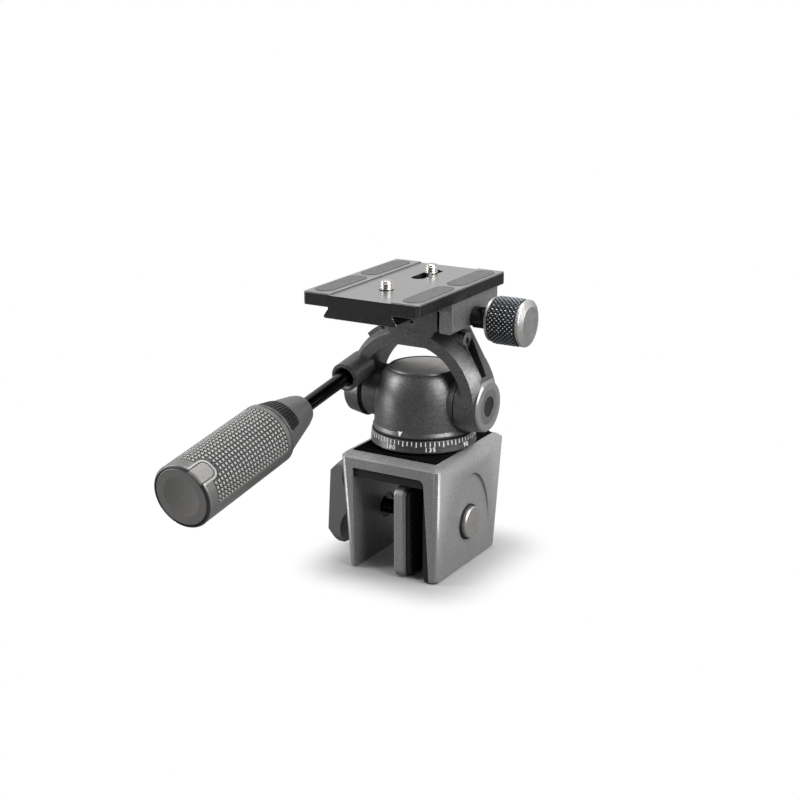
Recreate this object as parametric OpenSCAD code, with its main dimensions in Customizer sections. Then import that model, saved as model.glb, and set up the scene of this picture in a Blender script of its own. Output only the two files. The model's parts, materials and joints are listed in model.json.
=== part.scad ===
// Two-way pan head on a window clamp.
// The origin lies on the pan axis, on the underside of the bridge liner, where the window glass meets it.
// +X is the side of the quick-release knob, -Y is the user's side, where the handle points.

/* [Window clamp] */
// Width of the clamp body at its shoulder
clamp_w = 54; // [50:0.5:62]
// Depth of the clamp body at its shoulder
clamp_d = 67; // [62:0.5:80]
// Draft of each flank over the height of the legs
clamp_draft = 2.6; // [1:0.1:3.5]
// Length of the legs below the glass seat
leg_drop = 48; // [40:0.5:60]
// Width of the channel between the legs at the bridge
channel_w = 38.9; // [36:0.1:41]
// Offset of the channel's middle from the pan axis
channel_x = -0.75; // [-1.5:0.05:0]
// Thickness of the bridge from the channel's ceiling to the shoulder
bridge_t = 4.9; // [4.5:0.1:9]
// Rise of the shoulder to the land round the top pad
shoulder_rise = 2.3; // [1.8:0.1:4]
// Thickness of the bridge liner
liner_t = 4.7; // [3:0.1:7]
// Width of the top pad
pad_w = 45.3; // [42:0.1:47]
// Depth of the top pad
pad_d = 56.9; // [54:0.1:58]
// Thickness of the top pad
pad_t = 2.2; // [1.8:0.1:3]
// Height of the top pad above the land
pad_proud = 0.8; // [0.4:0.1:1.2]
// Pitch of the ribs on the top pad
pad_pitch = 2; // [1.6:0.1:3]

/* [Window jaw] */
// Height of the spindle axis above the glass seat
spindle_z = -25; // [-28:0.5:-22]
// Radius of the spindle
spindle_r = 4; // [3:0.1:4.5]
// Thickness of the jaw plate
jaw_t = 6.3; // [5:0.1:8]
// Length of the jaw plate along the glass
jaw_l = 62; // [50:0.5:66]
// Height of the jaw plate
jaw_h = 45.2; // [34:0.1:45.4]
// Clear gap between the two rubber faces as stored
glass_gap = 7.4; // [3:0.1:10]
// Thickness of the jaw's rubber pad
jaw_pad_t = 2; // [1.5:0.1:3]
// Thickness of the fixed pad at its top edge
fixed_pad_t = 2.1; // [1.5:0.1:4]
// Height of the wing knob from tip to tip
wing_h = 43.5; // [34:0.5:44]
// Thickness of the wing knob's bar
wing_t = 20; // [14:0.5:24]
// Length of the wing knob along the spindle
wing_l = 10; // [8:0.1:16]
// Radius of the round plug in the outer leg
plug_r = 7.8; // [6:0.1:8.5]

/* [Head] */
// Radius of the graduated ring at its foot
ring_r = 25.7; // [25:0.1:28]
// Height of the graduated ring
ring_h = 6; // [4:0.1:8]
// Radius of the head body at its foot
body_r = 24.6; // [24:0.1:25]
// Height of the head body above its foot
body_h = 29.8; // [28:0.1:32]
// Radius of the head body's top rim
rim_r = 17.2; // [17:0.1:18.5]
// Height of the tilt axis above the top pad
axle_h = 22; // [21:0.1:24]
// Radius of the pan post
post_r = 5; // [4:0.1:6]
// Radius of the tilt axles
axle_r = 4; // [3:0.1:4.5]

/* [Yoke] */
// Offset of the yoke's middle from the pan axis
yoke_x = -1; // [-1.5:0.1:0]
// Radius inside the arch
arch_ri = 28.7; // [28.5:0.1:30]
// Radius outside the arch
arch_ro = 37.7; // [36.5:0.1:40]
// Width of the arch along Y
arch_w = 24; // [22:0.5:28]
// Height of the arch's seat for the quick-release base above the tilt axis
seat_h = 39.3; // [39:0.1:44]
// Outer face of the right boss from the pan axis
boss_x = 35.3; // [34:0.1:37]
// Radius of the right boss
boss_r = 12; // [11:0.1:12.5]
// Outer face of the left boss from the pan axis
boss_left_x = 38.2; // [37:0.1:40]
// Radius of the left boss
boss_left_r = 12; // [11:0.1:12.5]

/* [Quick release] */
// Width of the dovetail at its foot
dovetail_w = 38; // [36:0.1:40]
// Length of the quick-release base along Y
base_l = 45; // [40:0.5:50]
// Thickness of the base under the dovetail
base_t = 9.1; // [8.5:0.1:12]
// Thickness of the movable jaw
qr_jaw_t = 6.5; // [5:0.1:9]
// Length of the camera plate
plate_l = 83; // [76:0.5:100]
// Width of the camera plate
plate_w = 59.9; // [56:0.1:70]
// Thickness of the plate's flange
flange_t = 6.1; // [5.5:0.1:8]
// Depth of the dovetail below the flange
dovetail_h = 5.1; // [4.8:0.1:5.6]
// How far the plate stands forward of the pan axis
plate_y = -16.6; // [-18:0.1:0]
// Radius of the knurled knob
knob_r = 11.3; // [10:0.1:13]
// Length of the knurled sleeve
knob_l = 14.3; // [11:0.1:20]
// Number of knurls round the knob
knurls = 32; // [24:1:40]

/* [Handle] */
// Distance of the handle's axis from the pan axis
handle_x = 30; // [29:0.1:31]
// Distance of the socket's front edge in front of the pan axis
handle_y = 24.5; // [22:0.1:30]
// Height of the handle's axis above the tilt axis at the socket's front edge
handle_h = 10.7; // [10:0.1:12]
// Droop of the handle below the horizontal in degrees
droop = 9.1; // [0:0.1:14]
// Radius of the handle rod
rod_r = 3.5; // [3:0.1:4]
// Free length of the rod in front of the socket
rod_l = 37; // [25:0.5:60]
// Length of the tapered neck
neck_l = 29.5; // [20:0.5:40]
// Length of the grip behind the neck
grip_l = 61.2; // [45:0.5:90]
// Radius of the grip
grip_r = 14.8; // [12:0.1:18]

/* [Hidden] */
$fn = 64;
smooth = 32;
eps = 0.01;

// Clearances
seat = 0.05;
run = 0.05;
face_gap = 0.3;
gap = 0.3;

// Levels of the window clamp
z_foot = -leg_drop;
z_ceiling = liner_t;
z_edge = z_ceiling + bridge_t;
z_land = z_edge + shoulder_rise;
z_pad = z_land + pad_proud;
foot_w = clamp_w - 2 * clamp_draft;
foot_d = clamp_d - 2 * (clamp_draft + 0.4);
land_w = pad_w + 1.2;
land_d = pad_d + 1.2;
corner_r = 3;
foot_round = 1.5;

// Flanks of the channel: x at the ceiling and at the foot
left_in = channel_x - channel_w / 2;
right_in = channel_x + channel_w / 2;
left_in_foot = left_in - 0.9;
right_in_foot = right_in + 1.6;
channel_r_left = 0.8;
channel_r_right = 2.8;
function wall(top, foot, r, z) = top + (foot - top) * (z_ceiling - r - z) / (z_ceiling - r - z_foot);
function left_wall(z) = wall(left_in, left_in_foot, channel_r_left, z);
function right_wall(z) = wall(right_in, right_in_foot, channel_r_right, z);
function flank(z) = (foot_w + (clamp_w - foot_w) * (z - z_foot) / (z_edge - z_foot)) / 2;
function front(z) = (foot_d + (clamp_d - foot_d) * (z - z_foot) / (z_edge - z_foot)) / 2;

// Arch-shaped spot face on the outer leg
spot_x = flank(spindle_z) - 0.5;
spot_a = 22;
spot_top = -0.3;
spot_mid = spot_top - 38;

// Outer leg: plug and its seal
seal_w = 0.9;
plug_in = right_wall(spindle_z) + 0.6;
seal_in = plug_in + 1.8;
plug_out = spot_x + 2.9;

// Inner leg: threaded bush
bush_r = 6.5;
bush_flange_r = 8.5;
bush_flange_t = 1.5;

// Fixed pad and window jaw
fixed_face = right_in - fixed_pad_t;
tooth = 0.5;
tooth_pitch = 1.6;
jaw_front = fixed_face - glass_gap;
jaw_x = jaw_front - jaw_pad_t;
jaw_back = jaw_x - jaw_t;
jaw_top = -2.5;
jaw_round = 4;
jaw_bore_depth = 3;
retainer_t = 2.5;
retainer_r = 9;
hub_gap = 7.6;
wing_turn = -5;
hub_r = 9.5;
hub_l = 4;
hub_end = -flank(spindle_z) - hub_gap - bush_flange_t;
wing_in = hub_end - hub_l;
wing_out = wing_in - wing_l;

// Levels of the head
foot_h = 0.9;
foot_r = ring_r - 3.5;
z_ring = z_pad + foot_h;
z_ring_top = z_ring + ring_h;
disc_t = 0.5;
disc_r = body_r - 0.5;
z_body = z_ring_top + face_gap + disc_t;
z_rim = z_body + body_h;
z_axle = z_pad + axle_h;
flare_h = 2.4;
waist_r = body_r - 0.7;
cavity_r = 12.6;
z_cavity = z_axle + 1.6;
cap_r = rim_r - 1.7;
cap_t = 2.6;
cap_rise = 1.4;
z_cap = z_rim - cap_t - 0.2;
head_h = 3.4;
head_r = 8;
nut_h = 5;
spring_t = 1.6;

// Tilt bearings
trunnion_r = boss_r + 0.8;
trunnion_x = 22.4;
trunnion_left_r = boss_left_r + 0.8;
boss_draft = 1.7;
edge_c = 0.8;
split_z = 2;
split_h = 0.6;
trunnion_left_x = 27;
arm_in = 23.5;
arm_left_in = 29.5;
stub_in = 14;
stub_head_r = 8.45;
stub_head_t = 3;
washer_t = 1;
washer_left_r = boss_left_r + 0.2;
bevel = 3.4;
bevel_y = 6.5;
arch_flat = 27.4;
pocket_r = 31.6;
pocket_w = 9.4;
pocket_from = 23;
pocket_to = 60;
shoulder_from = 30;
shoulder_top = 34.2;
arm_screw_z = 31;
arm_screw_r = 4.1;
arm_screw_x = 24;
arm_screw_y = -1.2;
tab_from = 119;
tab_to = 132;
tab_half = 7;
tab_out = arch_ro + 1.6;
block_top = 14.3;
block_waist = 9.6;

// Levels and sides of the quick release
z_seat = z_axle + seat_h;
z_floor = z_seat + base_t;
z_plate = z_floor + gap;
z_flange = z_plate + dovetail_h;
z_top = z_flange + flange_t;
foot_half = dovetail_w / 2;
neck_half = foot_half - 2.3;
lip_z = z_flange - gap;
base_right = foot_half + 0.2;
base_left = foot_half + 8;
jaw_gap = 1.6;
qr_in = base_right + jaw_gap;
qr_out = qr_in + qr_jaw_t;
knob_z = z_seat + 3.4;
guide_y = 14;
guide_r = 2;
lead_r = 3;
lead_in = 5;
scoop_w = 14;
scoop_wall = base_l / 2 - 7.5;
collar_r = 5.1;
collar_l = 9.6;
rim_flange = 1.2;
knob_in = qr_out + collar_l;
sleeve_in = knob_in + rim_flange;
sleeve_out = sleeve_in + knob_l;
core_r = knob_r - 2.3;
cap_neck = 0.6;
cap_l = 2.9;
recess_w = 31.6;
recess_d = 0.6;
z_recess = z_top - recess_d;
web_t = 4;
z_web = z_recess - web_t;
screw_r = 3.175;
screw_neck_r = 2.55;
screw_head_r = 6;
screw_head_t = 3.3;
screw_out = 4.4;
screw_front_y = -18.2;
screw_rear_y = 23.2;
slot_from = 11.1;
slot_to = 27.5;
slot_r = 3.45;
head_pocket_r = 7.2;
plate_pad_w = 9.6;
plate_pad_l = 36.5;
plate_pad_x = plate_w / 2 - 6.8;
plate_pad_y = 19.9;
plate_pad_in = 0.8;
plate_pad_proud = 0.2;
stop_y = plate_l / 2 - 5.5;
stop_r = 2;
stop_out = 1;
washer_plate_t = 0.8;

// Handle: stations along its axis, counted from the socket's front edge
z_handle = z_axle + handle_h;
socket_r = 7;
socket_back = -17.5;
socket_bore_r = 4.6;
socket_bore_l = 8;
shoulder_s = -9;
tip_r = 3;
tip_s = -14.2;
plunger_r = 2.9;
plunger_l = 2.2;
plunger_travel = 0.8;
plunger_clear = 0.45;
neck_end_r = 7.3;
neck_s = rod_l;
collar_s = neck_s + neck_l;
end_s = collar_s + grip_l;
collar_t = 2;
cap_len = 3;
core_in_r = grip_r - 3.8;
neck_big_r = grip_r - 0.7;
insert_s = neck_s + 12.5;
insert_l = 9;
insert_depth = 1.2;
insert_half = 62;
insert_mid = 60;
tab_w = 7.5;
tab_l = 9.7;
tab_turn = 50.5;
tab_corner = 2.2;
cap_r1 = grip_r - 1.6;
end_round = 1.4;

module rrect(w, d, r) {
    square([w - 2 * r, d], center = true);
    square([w, d - 2 * r], center = true);
    for (sx = [-1, 1], sy = [-1, 1]) {
        translate([sx * (w / 2 - r), sy * (d / 2 - r)]) circle(r, $fn = smooth);
    }
}

module slab(w, d, r, z) {
    translate([0, 0, z]) linear_extrude(eps) rrect(w, d, r);
}

// A round bar along X from one x to another
module bar_x(r, from, to, y = 0, z = 0) {
    translate([from, y, z]) rotate([0, 90, 0]) cylinder(r = r, h = to - from);
}

// An outline drawn as x and z, pushed along Y on both sides of the middle
module push_y(l) {
    rotate([90, 0, 0]) linear_extrude(l, center = true) children();
}

// An outline drawn as y and z, pushed along X from one x to another
module push_x(from, to) {
    translate([from, 0, 0]) rotate([90, 0, 90]) linear_extrude(to - from) children();
}

function arc(x, y, r, a0, a1, n = 8) = [for (i = [0:n]) let (a = a0 + (a1 - a0) * i / n)
    [x + r * cos(a), y + r * sin(a)]];

// Ribs along the top of a strip: points from x = -w/2 to w/2
function rib_points(w, pitch, top, cut) = let (n = floor(w / pitch), side = (w - n * pitch) / 2)
    [for (i = [0:n - 1], k = [0:3]) let (x = -w / 2 + side + i * pitch)
        [x + [0.2, 0.3, 0.7, 0.8][k] * pitch, k == 0 || k == 3 ? top - cut : top]];

module clamp_body() color([0.36, 0.37, 0.38]) {
    difference() {
        hull() {
            slab(foot_w - 2 * foot_round, foot_d - 2 * foot_round, corner_r - 1, z_foot);
            slab(foot_w - foot_round / 2, foot_d - foot_round / 2, corner_r, z_foot + foot_round / 2);
            slab(foot_w, foot_d, corner_r, z_foot + foot_round);
            slab(clamp_w, clamp_d, corner_r, z_edge);
            slab((clamp_w * 2 + land_w) / 3, (clamp_d * 2 + land_d) / 3, corner_r, z_edge + shoulder_rise * 0.6);
            slab(land_w, land_d, corner_r - 0.5, z_land - eps);
        }
        push_y(clamp_d + 10) polygon(concat(
            [[left_in_foot, z_foot], [left_in_foot, z_foot - 1], [right_in_foot, z_foot - 1], [right_in_foot, z_foot]],
            arc(right_in - channel_r_right, z_ceiling - channel_r_right, channel_r_right, 0, 90),
            arc(left_in + channel_r_left, z_ceiling - channel_r_left, channel_r_left, 90, 180, 4)));
        translate([0, 0, z_pad - pad_t]) linear_extrude(pad_t) square([pad_w + 2 * seat, pad_d + 2 * seat], center = true);
        push_x(spot_x, spot_x + 6) polygon(concat([[-spot_a, z_foot - 1], [spot_a, z_foot - 1]],
            [for (a = [0:7.5:180]) [spot_a * cos(a), spot_mid + (spot_top - spot_mid) * sin(a)]]));
        bar_x(plug_r + seat, channel_x, clamp_w, 0, spindle_z);
        bar_x(plug_r + seal_w + 2 * seat, seal_in - seat, clamp_w, 0, spindle_z);
        bar_x(bush_r + seat, -clamp_w, channel_x, 0, spindle_z);
        translate([0, 0, z_ceiling - 1]) cylinder(r = post_r + 2 * seat, h = z_pad);
        translate([0, 0, z_ceiling - 1]) cylinder(r = head_r + seat, h = head_h + 1 + gap);
    }
}

module top_pad() color([0.07, 0.07, 0.075]) {
    difference() {
        push_y(pad_d) polygon(concat([[pad_w / 2, z_pad - pad_t + seat], [-pad_w / 2, z_pad - pad_t + seat],
            [-pad_w / 2, z_pad - 0.5]], rib_points(pad_w, pad_pitch, z_pad, 0.5), [[pad_w / 2, z_pad - 0.5]]));
        translate([0, 0, z_land - pad_t]) cylinder(r = post_r + 2 * seat, h = 3 * pad_t);
    }
}

module bridge_liner() color([0.06, 0.06, 0.065]) {
    push_y(clamp_d - 3) polygon(concat([[left_wall(0) + seat, 0], [right_wall(0) - seat, 0]],
        arc(right_in - channel_r_right - seat, z_ceiling - channel_r_right - seat, channel_r_right, 0, 90),
        [[left_in + channel_r_left + 0.2, z_ceiling - seat], [left_in + seat, z_ceiling - channel_r_left - 0.2]]));
}

module fixed_jaw_pad() color([0.09, 0.09, 0.09]) {
    top = jaw_top;
    low = z_foot + 0.6;
    n = floor((top - low - 2.4) / tooth_pitch);
    push_y(foot_d - 1) polygon(concat(
        [[right_wall(low) - seat, low + 0.8], [right_wall(top) - seat, top], [fixed_face + tooth, top]],
        [for (i = [0:n - 1], k = [0:1]) [fixed_face + k * tooth, top - 0.8 - (i + k / 2) * tooth_pitch]],
        [[fixed_face + tooth, top - 0.8 - n * tooth_pitch], [fixed_face + 1.2, low], [right_wall(low) - 0.9, low]]));
}

module bore_plug() color([0.42, 0.43, 0.44]) {
    bar_x(plug_r, plug_in, plug_out - 0.5 + eps, 0, spindle_z);
    translate([plug_out - 0.5, 0, spindle_z]) rotate([0, 90, 0]) cylinder(r1 = plug_r, r2 = plug_r - 0.5, h = 0.5);
}

module plug_seal() color([0.04, 0.04, 0.04]) {
    difference() {
        bar_x(plug_r + seal_w + seat, seal_in, spot_x + 0.8, 0, spindle_z);
        bar_x(plug_r + seat, seal_in - 1, spot_x + 2, 0, spindle_z);
    }
}

module spindle_bush() color([0.62, 0.56, 0.36]) {
    out = -flank(spindle_z + bush_flange_r) - seat;
    difference() {
        union() {
            bar_x(bush_r, out - eps, left_wall(spindle_z) - 0.3, 0, spindle_z);
            bar_x(bush_flange_r, out - bush_flange_t, out, 0, spindle_z);
        }
        bar_x(spindle_r + run, out - 5, channel_x, 0, spindle_z);
    }
}

module scale_ring() color([0.42, 0.42, 0.43]) {
    rotate_extrude() polygon([[post_r + run, z_pad], [foot_r, z_pad], [foot_r, z_ring], [ring_r - 0.3, z_ring],
        [ring_r, z_ring + 0.3], [ring_r - 0.65, z_ring_top - 0.3], [ring_r - 0.95, z_ring_top],
        [post_r + run, z_ring_top]]);
}

module pan_post() color([0.66, 0.67, 0.69]) {
    translate([0, 0, z_ceiling + gap]) cylinder(r = post_r, h = z_cavity + spring_t + nut_h + 0.5 - z_ceiling);
    translate([0, 0, z_ceiling + gap]) cylinder(r = head_r, h = head_h, $fn = 6);
}

module window_jaw() color([0.36, 0.37, 0.38]) {
    c = 0.9;
    difference() {
        union() {
            push_x(jaw_back + c, jaw_x - c) jaw_outline(0);
            push_x(jaw_back, jaw_x) jaw_outline(c);
        }
        bar_x(spindle_r + run, jaw_back - 1, jaw_back + jaw_bore_depth, 0, spindle_z);
    }
}

// The jaw's outline as y and z, drawn in by a margin on every side
module jaw_outline(margin) {
    translate([0, jaw_top - jaw_h / 2]) rrect(jaw_l - 2 * margin, jaw_h - 2 * margin, jaw_round - margin / 2);
}

module window_jaw_pad() color([0.08, 0.08, 0.08]) {
    border = 1.4;
    rib_gap = 2.6;
    difference() {
        push_x(jaw_x, jaw_front) jaw_outline(border);
        intersection() {
            push_x(jaw_front - 0.7, jaw_front + 1) jaw_outline(border + 2);
            for (i = [-20:20]) {
                translate([jaw_front, 0, jaw_top - jaw_h / 2]) rotate([45, 0, 0])
                    translate([-1, i * rib_gap - 0.55, -jaw_l]) cube([2, 1.1, 2 * jaw_l]);
            }
        }
    }
}

module jaw_retainer() color([0.5, 0.5, 0.52]) {
    difference() {
        bar_x(retainer_r, jaw_back - retainer_t, jaw_back, 0, spindle_z);
        bar_x(spindle_r + run, jaw_back - retainer_t - 1, jaw_back + 1, 0, spindle_z);
    }
}

module clamp_spindle() color([0.3, 0.3, 0.31]) {
    difference() {
        bar_x(spindle_r, wing_out + 3, jaw_back + jaw_bore_depth - gap, 0, spindle_z);
        at_spindle() translate([hub_end - hub_l / 2, -hub_r, 0]) rotate([-90, 0, 0]) cylinder(r = 1.25, h = 2 * hub_r);
    }
}

// The wing knob's own frame: the spindle's axis, turned to the place where the knob was left
module at_spindle() {
    translate([0, 0, spindle_z]) rotate([wing_turn, 0, 0]) children();
}

module wing_knob() color([0.2, 0.2, 0.21]) {
    h = wing_h / 2;
    at_spindle() difference() {
        union() {
            intersection() {
                push_y(wing_t) polygon([[wing_in, -h + 2], [wing_in - 2, -h], [wing_out + 6, -h],
                    [wing_out, -h + 6.5], [wing_out, h - 6.5], [wing_out + 6, h], [wing_in - 2, h], [wing_in, h - 2]]);
                push_x(wing_out - 1, wing_in + 3) rrect(wing_t, wing_h, 4);
            }
            bar_x(hub_r, wing_in - 4, hub_end);
        }
        for (s = [-1, 1]) {
            translate([wing_in + 8, 0, s * 13.5]) rotate([90, 0, 0]) cylinder(r = 11, h = wing_t + 2, center = true);
        }
        bar_x(spindle_r + seat, wing_out + 3 - gap, hub_end + 1);
        translate([hub_end - hub_l / 2, -hub_r - 1, 0]) rotate([-90, 0, 0]) cylinder(r = 1.25, h = 2 * hub_r + 2);
    }
}

module knob_pin() color([0.7, 0.7, 0.72]) {
    at_spindle() translate([hub_end - hub_l / 2, -hub_r + 0.6, 0]) rotate([-90, 0, 0])
        cylinder(r = 1.2, h = 2 * hub_r - 1.2);
}

module pan_friction_disc() color([0.03, 0.03, 0.03]) {
    difference() {
        translate([0, 0, z_body - disc_t]) cylinder(r = disc_r, h = disc_t);
        translate([0, 0, z_ring_top - 1]) cylinder(r = post_r + run, h = 3);
    }
}

// Radius of the barrel between its waist and its rim, by height
function barrel(z) = let (u = min(1, (z - z_body - flare_h) / (body_h - flare_h - 0.6)))
    rim_r + (waist_r - rim_r) * pow(1 - pow(max(u, 0), 2.4), 0.62);

module head_body() color([0.24, 0.24, 0.25]) {
    top = z_rim - 0.6;
    steps = 14;
    difference() {
        union() {
            rotate_extrude() polygon(concat([[0, z_body], [body_r - 0.3, z_body], [body_r, z_body + 0.3],
                [body_r, z_body + 0.9]],
                [for (i = [0:steps]) let (z = z_body + flare_h + (top - z_body - flare_h) * sin(90 * i / steps))
                    [barrel(z), z]], [[rim_r - 0.4, z_rim], [0, z_rim]]));
            bar_x(trunnion_r, stub_in, trunnion_x, 0, z_axle);
            bar_x(trunnion_left_r, -trunnion_left_x, -stub_in, 0, z_axle);
        }
        bar_x(boss_r + boss_draft + 2 * gap, trunnion_x, boss_x, 0, z_axle);
        translate([0, 0, z_body - 1]) cylinder(r = post_r + run, h = body_h);
        translate([0, 0, z_cavity]) cylinder(r = cavity_r, h = body_h);
        translate([0, 0, z_cap]) cylinder(r = cap_r + 0.6, h = body_h);
        bar_x(axle_r + run, stub_in - 0.5, trunnion_x + 1, 0, z_axle);
        bar_x(axle_r + run, -trunnion_left_x - 1, -stub_in + 0.5, 0, z_axle);
        for (from = [-trunnion_left_x - 1, trunnion_x - 2.5]) {
            translate([from, -trunnion_r - 1, z_axle + split_z]) cube([3.5, 1.4, split_h]);
            translate([from, trunnion_r - 0.4, z_axle + split_z]) cube([3.5, 1.4, split_h]);
        }
    }
}

module pan_nut() color([0.66, 0.67, 0.69]) {
    difference() {
        union() {
            translate([0, 0, z_cavity + face_gap]) cylinder(r = cavity_r - 1, h = spring_t);
            translate([0, 0, z_cavity + face_gap + spring_t - eps]) cylinder(r = post_r + 3.6, h = nut_h, $fn = 6);
        }
        translate([0, 0, z_cavity - 1]) cylinder(r = post_r + seat, h = 20);
    }
}

module top_cap() color([0.55, 0.55, 0.56]) {
    dome_r = (cap_r * cap_r + cap_rise * cap_rise) / (2 * cap_rise);
    intersection() {
        translate([0, 0, z_cap]) cylinder(r = cap_r, h = cap_t + cap_rise);
        translate([0, 0, z_cap + cap_t + cap_rise - dome_r]) sphere(dome_r, $fn = 128);
    }
}

module cap_ring() color([0.5, 0.5, 0.52]) {
    rotate([0, 0, 200]) rotate_extrude(angle = 335)
        translate([cap_r + 0.08, z_rim - 1.5]) square([0.45, 0.8]);
}

// Cross-section of the arch as a radius and a y, bevelled on its outer edges
module arch_section() {
    h = arch_w / 2;
    polygon([[0, -h], [arch_ro - bevel, -h], [arch_ro, -h + bevel_y], [arch_ro, h - bevel_y],
        [arch_ro - bevel, h], [0, h]]);
}

// A round boss on the tilt axis, a little wider at its inner face
module boss(from, to, r) {
    translate([from, 0, z_axle]) rotate([0, 90, 0]) {
        cylinder(r1 = r + boss_draft, r2 = r + 0.3, h = to - from - edge_c);
        translate([0, 0, to - from - edge_c - eps]) cylinder(r1 = r + 0.3, r2 = r - 0.4, h = edge_c + eps);
    }
}

module yoke() color([0.25, 0.25, 0.26]) {
    h = arch_w / 2;
    difference() {
        union() {
            difference() {
                translate([yoke_x, 0, z_axle]) rotate([90, 0, 0]) rotate_extrude() arch_section();
                translate([yoke_x, arch_w, z_axle]) rotate([90, 0, 0]) cylinder(r = arch_ri, h = 2 * arch_w);
                translate([-60, -arch_w, z_axle - 60]) cube([120, 2 * arch_w, 60]);
                translate([boss_x, -arch_w, z_axle - 5]) cube([20, 2 * arch_w, 60]);
            }
            arm_shoulder();
            push_y(arch_w) translate([yoke_x, z_axle]) polygon([[-block_waist, arch_flat], [block_waist, arch_flat],
                [block_waist, 30], [block_top, seat_h - 2], [block_top, seat_h], [-block_top, seat_h],
                [-block_top, seat_h - 2], [-block_waist, 30]]);
            boss(arm_in, boss_x, boss_r);
            mirror([1, 0, 0]) boss(arm_left_in, boss_left_x, boss_left_r);
            bar_x(arm_screw_r + 0.9, block_waist, arm_screw_x - 0.6, arm_screw_y, z_axle + arm_screw_z);
            translate([yoke_x, 0, z_axle]) rotate([90, 0, 0]) rotate([0, 0, tab_from])
                rotate_extrude(angle = tab_to - tab_from) translate([arch_ro - 3, -tab_half])
                    square([tab_out - arch_ro + 3, 2 * tab_half]);
            on_handle() translate([0, 0, socket_back]) cylinder(r = socket_r, h = -socket_back - 0.6);
        }
        arm_pocket();
        bar_x(trunnion_left_r + gap, -arm_left_in, -stub_in, 0, z_axle);
        bar_x(axle_r + seat, arm_in - 1, boss_x + 1, 0, z_axle);
        bar_x(stub_head_r + seat, boss_x - stub_head_t, boss_x + 1, 0, z_axle);
        bar_x(axle_r + seat, -boss_left_x - 1, -arm_left_in + 1, 0, z_axle);
        bar_x(stub_head_r - 2 + seat, -boss_left_x - 1, -boss_left_x + stub_head_t, 0, z_axle);
        bar_x(arm_screw_r + seat, arm_screw_x - 3, arm_screw_x + 5, arm_screw_y, z_axle + arm_screw_z);
        on_handle() {
            translate([0, 0, -socket_bore_l]) cylinder(r = socket_bore_r, h = 20);
            translate([0, 0, -3.5 - seat]) cylinder(r = socket_r - 0.8 + seat, h = 20);
            translate([0, 0, shoulder_s]) cylinder(r = rod_r + run, h = 20);
            translate([0, 0, tip_s - gap - plunger_l - plunger_travel - 0.2]) cylinder(r = tip_r + run, h = 20);
        }
        for (s = [-1, 1]) {
            translate([yoke_x, s * 8, z_seat - 7]) cylinder(r = 2 + seat, h = 10);
        }
    }
}

// The right arm's straight back, which leaves the arch at a tangent and carries it up to the block
module arm_shoulder() {
    crest = arch_w / 2 - bevel_y;
    intersection() {
        translate([yoke_x, 0, z_axle]) rotate([0, -shoulder_from, 0]) translate([0, 0, -5]) linear_extrude(29)
            polygon([[arch_ri + 1.3, 0.3 - crest], [arch_ro - 0.2, 0.3 - crest], [arch_ro - 0.2, crest - 0.3],
                [arch_ro - bevel - 0.2, arch_w / 2 - 0.1], [arch_ri + 1.3, arch_w / 2 - 0.1]]);
        translate([block_waist - 2, -arch_w, z_axle]) cube([40, 2 * arch_w, shoulder_top]);
    }
}

// The long pocket in the right arm, narrower at its foot
module arm_pocket() {
    mid = (pocket_from + pocket_to) / 2;
    half = pocket_w / 2;
    intersection() {
        translate([yoke_x, 0, z_axle]) rotate([90, 0, 0]) rotate([0, 0, pocket_from])
            rotate_extrude(angle = pocket_to - pocket_from) translate([pocket_r, -half]) square([12, 2 * half]);
        translate([yoke_x, 0, z_axle]) rotate([0, -mid, 0])
            linear_extrude(40, center = true) polygon([[0, -half - 1], [60, -half - 1], [60, half], [0, half]]);
        translate([yoke_x, 0, z_axle]) rotate([0, 90 - mid, 0]) linear_extrude(60)
            polygon([[20, -half - 1], [-20, -half - 1], [-20, 5.8], [20, -1.8]]);
    }
}

// The handle's own frame: +Z runs along the handle away from the head
module on_handle() {
    translate([-handle_x, -handle_y, z_handle]) rotate([90 + droop, 0, 0]) children();
}

module axle_right() color([0.55, 0.55, 0.57]) {
    difference() {
        union() {
            bar_x(axle_r, stub_in, boss_x - stub_head_t + 2 * seat, 0, z_axle);
            bar_x(stub_head_r, boss_x - stub_head_t + seat, boss_x, 0, z_axle);
        }
        bar_x(4.9 + seat, boss_x - 1.8, boss_x + 1, 0, z_axle);
    }
}

module axle_left() color([0.55, 0.55, 0.57]) {
    bar_x(axle_r, -boss_left_x + 1, -stub_in, 0, z_axle);
    bar_x(stub_head_r - 2, -boss_left_x, -boss_left_x + stub_head_t - seat, 0, z_axle);
}

module axle_plug() color([0.1, 0.1, 0.1]) {
    bar_x(4.9, boss_x - 1.8 + seat, boss_x - 0.4, 0, z_axle);
}

module friction_washers() color([0.05, 0.05, 0.05]) {
    difference() {
        union() {
            bar_x(boss_r + 0.4, trunnion_x + face_gap, arm_in - seat, 0, z_axle);
            bar_x(washer_left_r, -arm_left_in + seat, -trunnion_left_x - washer_t - face_gap, 0, z_axle);
        }
        bar_x(axle_r + run, -boss_left_x, boss_x, 0, z_axle);
    }
}

module brass_washer() color([0.72, 0.55, 0.25]) {
    difference() {
        bar_x(washer_left_r, -trunnion_left_x - washer_t, -trunnion_left_x, 0, z_axle);
        bar_x(axle_r + run, -boss_left_x, 0, 0, z_axle);
    }
}

module arm_screw() color([0.45, 0.45, 0.46]) {
    difference() {
        bar_x(arm_screw_r, arm_screw_x - 3 + seat, arm_screw_x, arm_screw_y, z_axle + arm_screw_z);
        translate([arm_screw_x - 1.6, arm_screw_y, z_axle + arm_screw_z]) rotate([0, 90, 0]) cylinder(r = 1.75, h = 5, $fn = 6);
    }
}

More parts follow.
